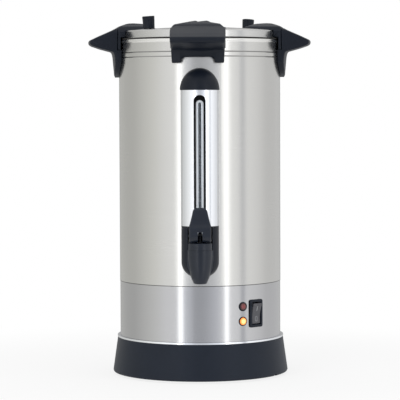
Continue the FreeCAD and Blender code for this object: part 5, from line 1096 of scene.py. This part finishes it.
class URN_OT_switch(bpy.types.Operator):
    """The power switch: a rimmed bezel with its body behind the skirt, and a rocker with a bar and an oval"""

    bl_idname = "urn.switch"
    bl_label = "Power switch"

    def execute(self, context):
        size = sizes()
        low, high = edges("switch_housing")
        middle, half_length = middle_height("switch_housing"), (high[2] - low[2]) / 2
        degrees, reach = FRONT + size.switch_angle, size.skirt_radius + WITHIN
        room, lift = SWITCH_RIM * 1.6, 0.02
        section = rounded([
            (room, -SWITCH_DEPTH, 0.1), (SWITCH_RIM, -SWITCH_DEPTH, 0.3), (SWITCH_RIM, lift),
            (lift, lift, 0.2), (lift, 1.2, 0.8), (1.1, 1.98, 0.8), (room, 1.7, 0.5)], steps=4, closed=True)
        bezel = frame_rings(size.switch_half, half_length, 2.6, section, middle, reach)
        inset = SWITCH_RIM + 0.3
        back = block_rings(size.switch_half - inset, reach - SWITCH_DEPTH + 0.1, reach - SWITCH_DEPTH + 1.5,
                           middle - half_length + inset, middle + half_length - inset, edge=0.2)
        parts = [(bezel, True), (back, False)]
        place("switch_frame", parts, degrees, "urn", "switch_plastic", "switch_housing")

        half, pivot = size.rocker_half, reach - ROCKER_PIVOT
        outer = finer(rounded([(0, -half), (ROCKER_END, -half, 1.4), (ROCKER_DIP, 0, 60),
                               (ROCKER_END, half, 1.4), (0, half)]), step=0.8)
        keel = np.array([(0, -half), (-6, -4), (-6, 4), (0, half)])
        share = np.linspace(0, 3, len(outer))
        inner = np.stack([np.interp(share, np.arange(4), values) for values in keel.T], -1)
        width = np.full(len(outer), size.switch_half - room - 0.42)
        face = slab_rings(outer, inner, width, 0.9, rows=12) + (0, pivot, middle)
        face = tilted(face, pivot, middle, ROCKER_LEAN)
        place("rocker_face", [(face, False)], degrees, "power_rocker", "rocker_plastic", "rocker",
              smooth_angle=50.0)

        lean = math.degrees(math.atan2(ROCKER_END - ROCKER_DIP, half))
        marks = []
        for *outline, side in ROCKER_MARKS:
            mark = tilted(frame_rings(*outline, MARK_SECTION, 0.0, 0.0), 0.0, 0.0, side * lean)
            mark = mark + (0, pivot + (ROCKER_END + ROCKER_DIP) / 2, middle + side * half / 2)
            marks.append((tilted(mark, pivot, middle, ROCKER_LEAN), True))
        pale = moulded("Switch mark paint", shade(looks().mark, 0.6), 0.5)
        place("rocker_marks", marks, degrees, "power_rocker", "rocker_plastic", material=pale)
        return {"FINISHED"}


class URN_OT_stage(bpy.types.Operator):
    """Floor, camera and light"""

    bl_idname = "urn.stage"
    bl_label = "Studio"

    def execute(self, context):
        room = context.scene.urn_studio
        context.scene.view_settings.view_transform = "Standard"
        make_world(room.ambient)
        make_floor()
        make_surround()
        for lamp in LAMPS:
            make_lamp(*lamp)
        make_camera(room)
        return {"FINISHED"}


def make_world(ambient):
    """White for the camera, mirrors and glass, and a plain ambient level for matt surfaces."""
    world = bpy.data.worlds.new("Studio")
    bpy.context.scene.world = world
    world.use_nodes = True
    nodes = Nodes(world.node_tree)
    background = nodes.tree.nodes["Background"]
    nodes.plug(background.inputs["Color"], (1, 1, 1, 1))
    nodes.plug(background.inputs["Strength"], nodes.seen().joined("MULTIPLY_ADD", 1 - ambient, ambient))


def stage_piece(name, points, faces, finish):
    """A piece of the stage that doesn't belong to the urn."""
    mesh = bpy.data.meshes.new(name)
    mesh.from_pydata(points, [], faces)
    mesh.materials.append(finish.material)
    piece = linked(name, mesh)
    return piece


def make_floor():
    """A pale floor: its own matt shade keeps the shadow, and away from the object it fades to plain white."""
    finish = Finish("Floor")
    x, y, _ = finish.axes()
    away = (x * x + y * y).smooth(0.02, 0.35)
    matt = finish.node("ShaderNodeBsdfDiffuse", None, {"Color": (0.9, 0.9, 0.9)}).outputs[0]
    white = finish.node("ShaderNodeEmission", None, {"Color": (1, 1, 1), "Strength": 1.0}).outputs[0]
    share = finish.seen() * (0.80 + away * 0.20)
    finish.end_in(finish.node("ShaderNodeMixShader", None, {0: share, 1: matt, 2: white}))
    corners = [(x_side * FLOOR_REACH, y_side * FLOOR_REACH, FLOOR_HEIGHT)
               for x_side, y_side in ((-1, -1), (1, -1), (1, 1), (-1, 1))]
    stage_piece("floor", corners, [(0, 1, 2, 3)], finish).visible_glossy = False


def make_surround():
    """A drum about the urn that only mirrors see. Its level follows the angle from the camera's side."""
    steps = 48
    around = circle(steps)
    ring = SURROUND_RADIUS * np.concatenate([np.cos(around), np.sin(around)], -1)
    points = np.concatenate([np.insert(ring, 2, height, axis=1) for height in (SURROUND_LOW, SURROUND_HIGH)])
    first = np.arange(steps)
    ahead = (first + 1) % steps
    finish = Finish("Surround")
    x, y, _ = finish.axes()
    turn = x.joined("ARCTAN2", 0.0 - y) * (1 / math.tau) + 0.5
    ramp = finish.node("ShaderNodeValToRGB", None, {0: turn})
    stops = ramp.color_ramp.elements
    while len(stops) > 1:
        stops.remove(stops[-1])
    for index, (degrees, level, tint) in enumerate(SURROUND):
        stop = stops[0] if index == 0 else stops.new(1.0)
        stop.position = degrees / 360 + 0.5
        stop.color = (*(channel * level / SURROUND_PEAK for channel in tint), 1.0)
    glow = {"Color": ramp.outputs[0], "Strength": SURROUND_PEAK}
    finish.end_in(finish.node("ShaderNodeEmission", None, glow))
    finish.material.cycles.emission_sampling = "NONE"
    faces = np.stack([first, ahead, ahead + steps, first + steps], -1)
    piece = stage_piece("surround", points, faces, finish)
    piece.visible_camera = False
    piece.visible_diffuse = False
    piece.visible_transmission = False
    piece.visible_shadow = False


def make_lamp(name, place_at, aim, width, height, power):
    """A soft area light that mirrors don't see."""
    light = bpy.data.lights.new(name, "AREA")
    light.shape = "RECTANGLE"
    light.size = width
    light.size_y = height
    light.energy = power
    lamp = linked(name, light)
    lamp.location = place_at
    lamp.rotation_euler = (Vector(aim) - Vector(place_at)).to_track_quat("-Z", "Y").to_euler()
    lamp.visible_glossy = False
    lamp.visible_camera = False


def make_camera(room):
    """A long lens at the photograph's height, looking slightly down."""
    eye = Vector((0, -room.camera_distance, room.camera_height))
    view = bpy.data.cameras.new("camera")
    view.sensor_width = 36.0
    view.sensor_fit = "AUTO"
    view.angle = room.view_angle
    view.clip_start = 0.05
    camera = linked("camera", view)
    camera.location = eye
    aim = Vector((0, 0, room.aim_height)) - eye
    turned = aim.to_track_quat("-Z", "Y").to_matrix() @ Matrix.Rotation(-room.roll, 3, "Z")
    camera.rotation_euler = turned.to_euler()
    bpy.context.scene.camera = camera


class URN_PT_panel(bpy.types.Panel):
    """Sizes, colours and steps of the urn"""

    bl_label = "Coffee urn"
    bl_idname = "URN_PT_panel"
    bl_space_type = "VIEW_3D"
    bl_region_type = "UI"
    bl_category = "Urn"

    def draw(self, context):
        for step in STEPS:
            self.layout.operator(step.bl_idname)
        for name, group in GROUPS.items():
            column = self.layout.column(align=True)
            for field in group.__annotations__:
                column.prop(getattr(context.scene, name), field)


STEPS = (URN_OT_finishes, URN_OT_handles, URN_OT_lid_clips, URN_OT_tap, URN_OT_lever, URN_OT_gauge,
         URN_OT_lamps, URN_OT_switch, URN_OT_stage)
GROUPS = {"urn_sizes": UrnSizes, "urn_looks": UrnLooks, "urn_studio": UrnStudio}


def register():
    for group in GROUPS.values():
        bpy.utils.register_class(group)
    for name, group in GROUPS.items():
        setattr(bpy.types.Scene, name, bpy.props.PointerProperty(type=group))
    for step in (*STEPS, URN_PT_panel):
        bpy.utils.register_class(step)


def unregister():
    for step in (URN_PT_panel, *STEPS[::-1]):
        bpy.utils.unregister_class(step)
    for name, group in GROUPS.items():
        delattr(bpy.types.Scene, name)
        bpy.utils.unregister_class(group)


def main():
    register()
    bpy.ops.urn.finishes()
    bpy.ops.urn.handles()
    bpy.ops.urn.lid_clips()
    bpy.ops.urn.tap()
    bpy.ops.urn.lever()
    bpy.ops.urn.gauge()
    bpy.ops.urn.lamps()
    bpy.ops.urn.switch()
    bpy.ops.urn.stage()


if __name__ == "__main__":
    main()
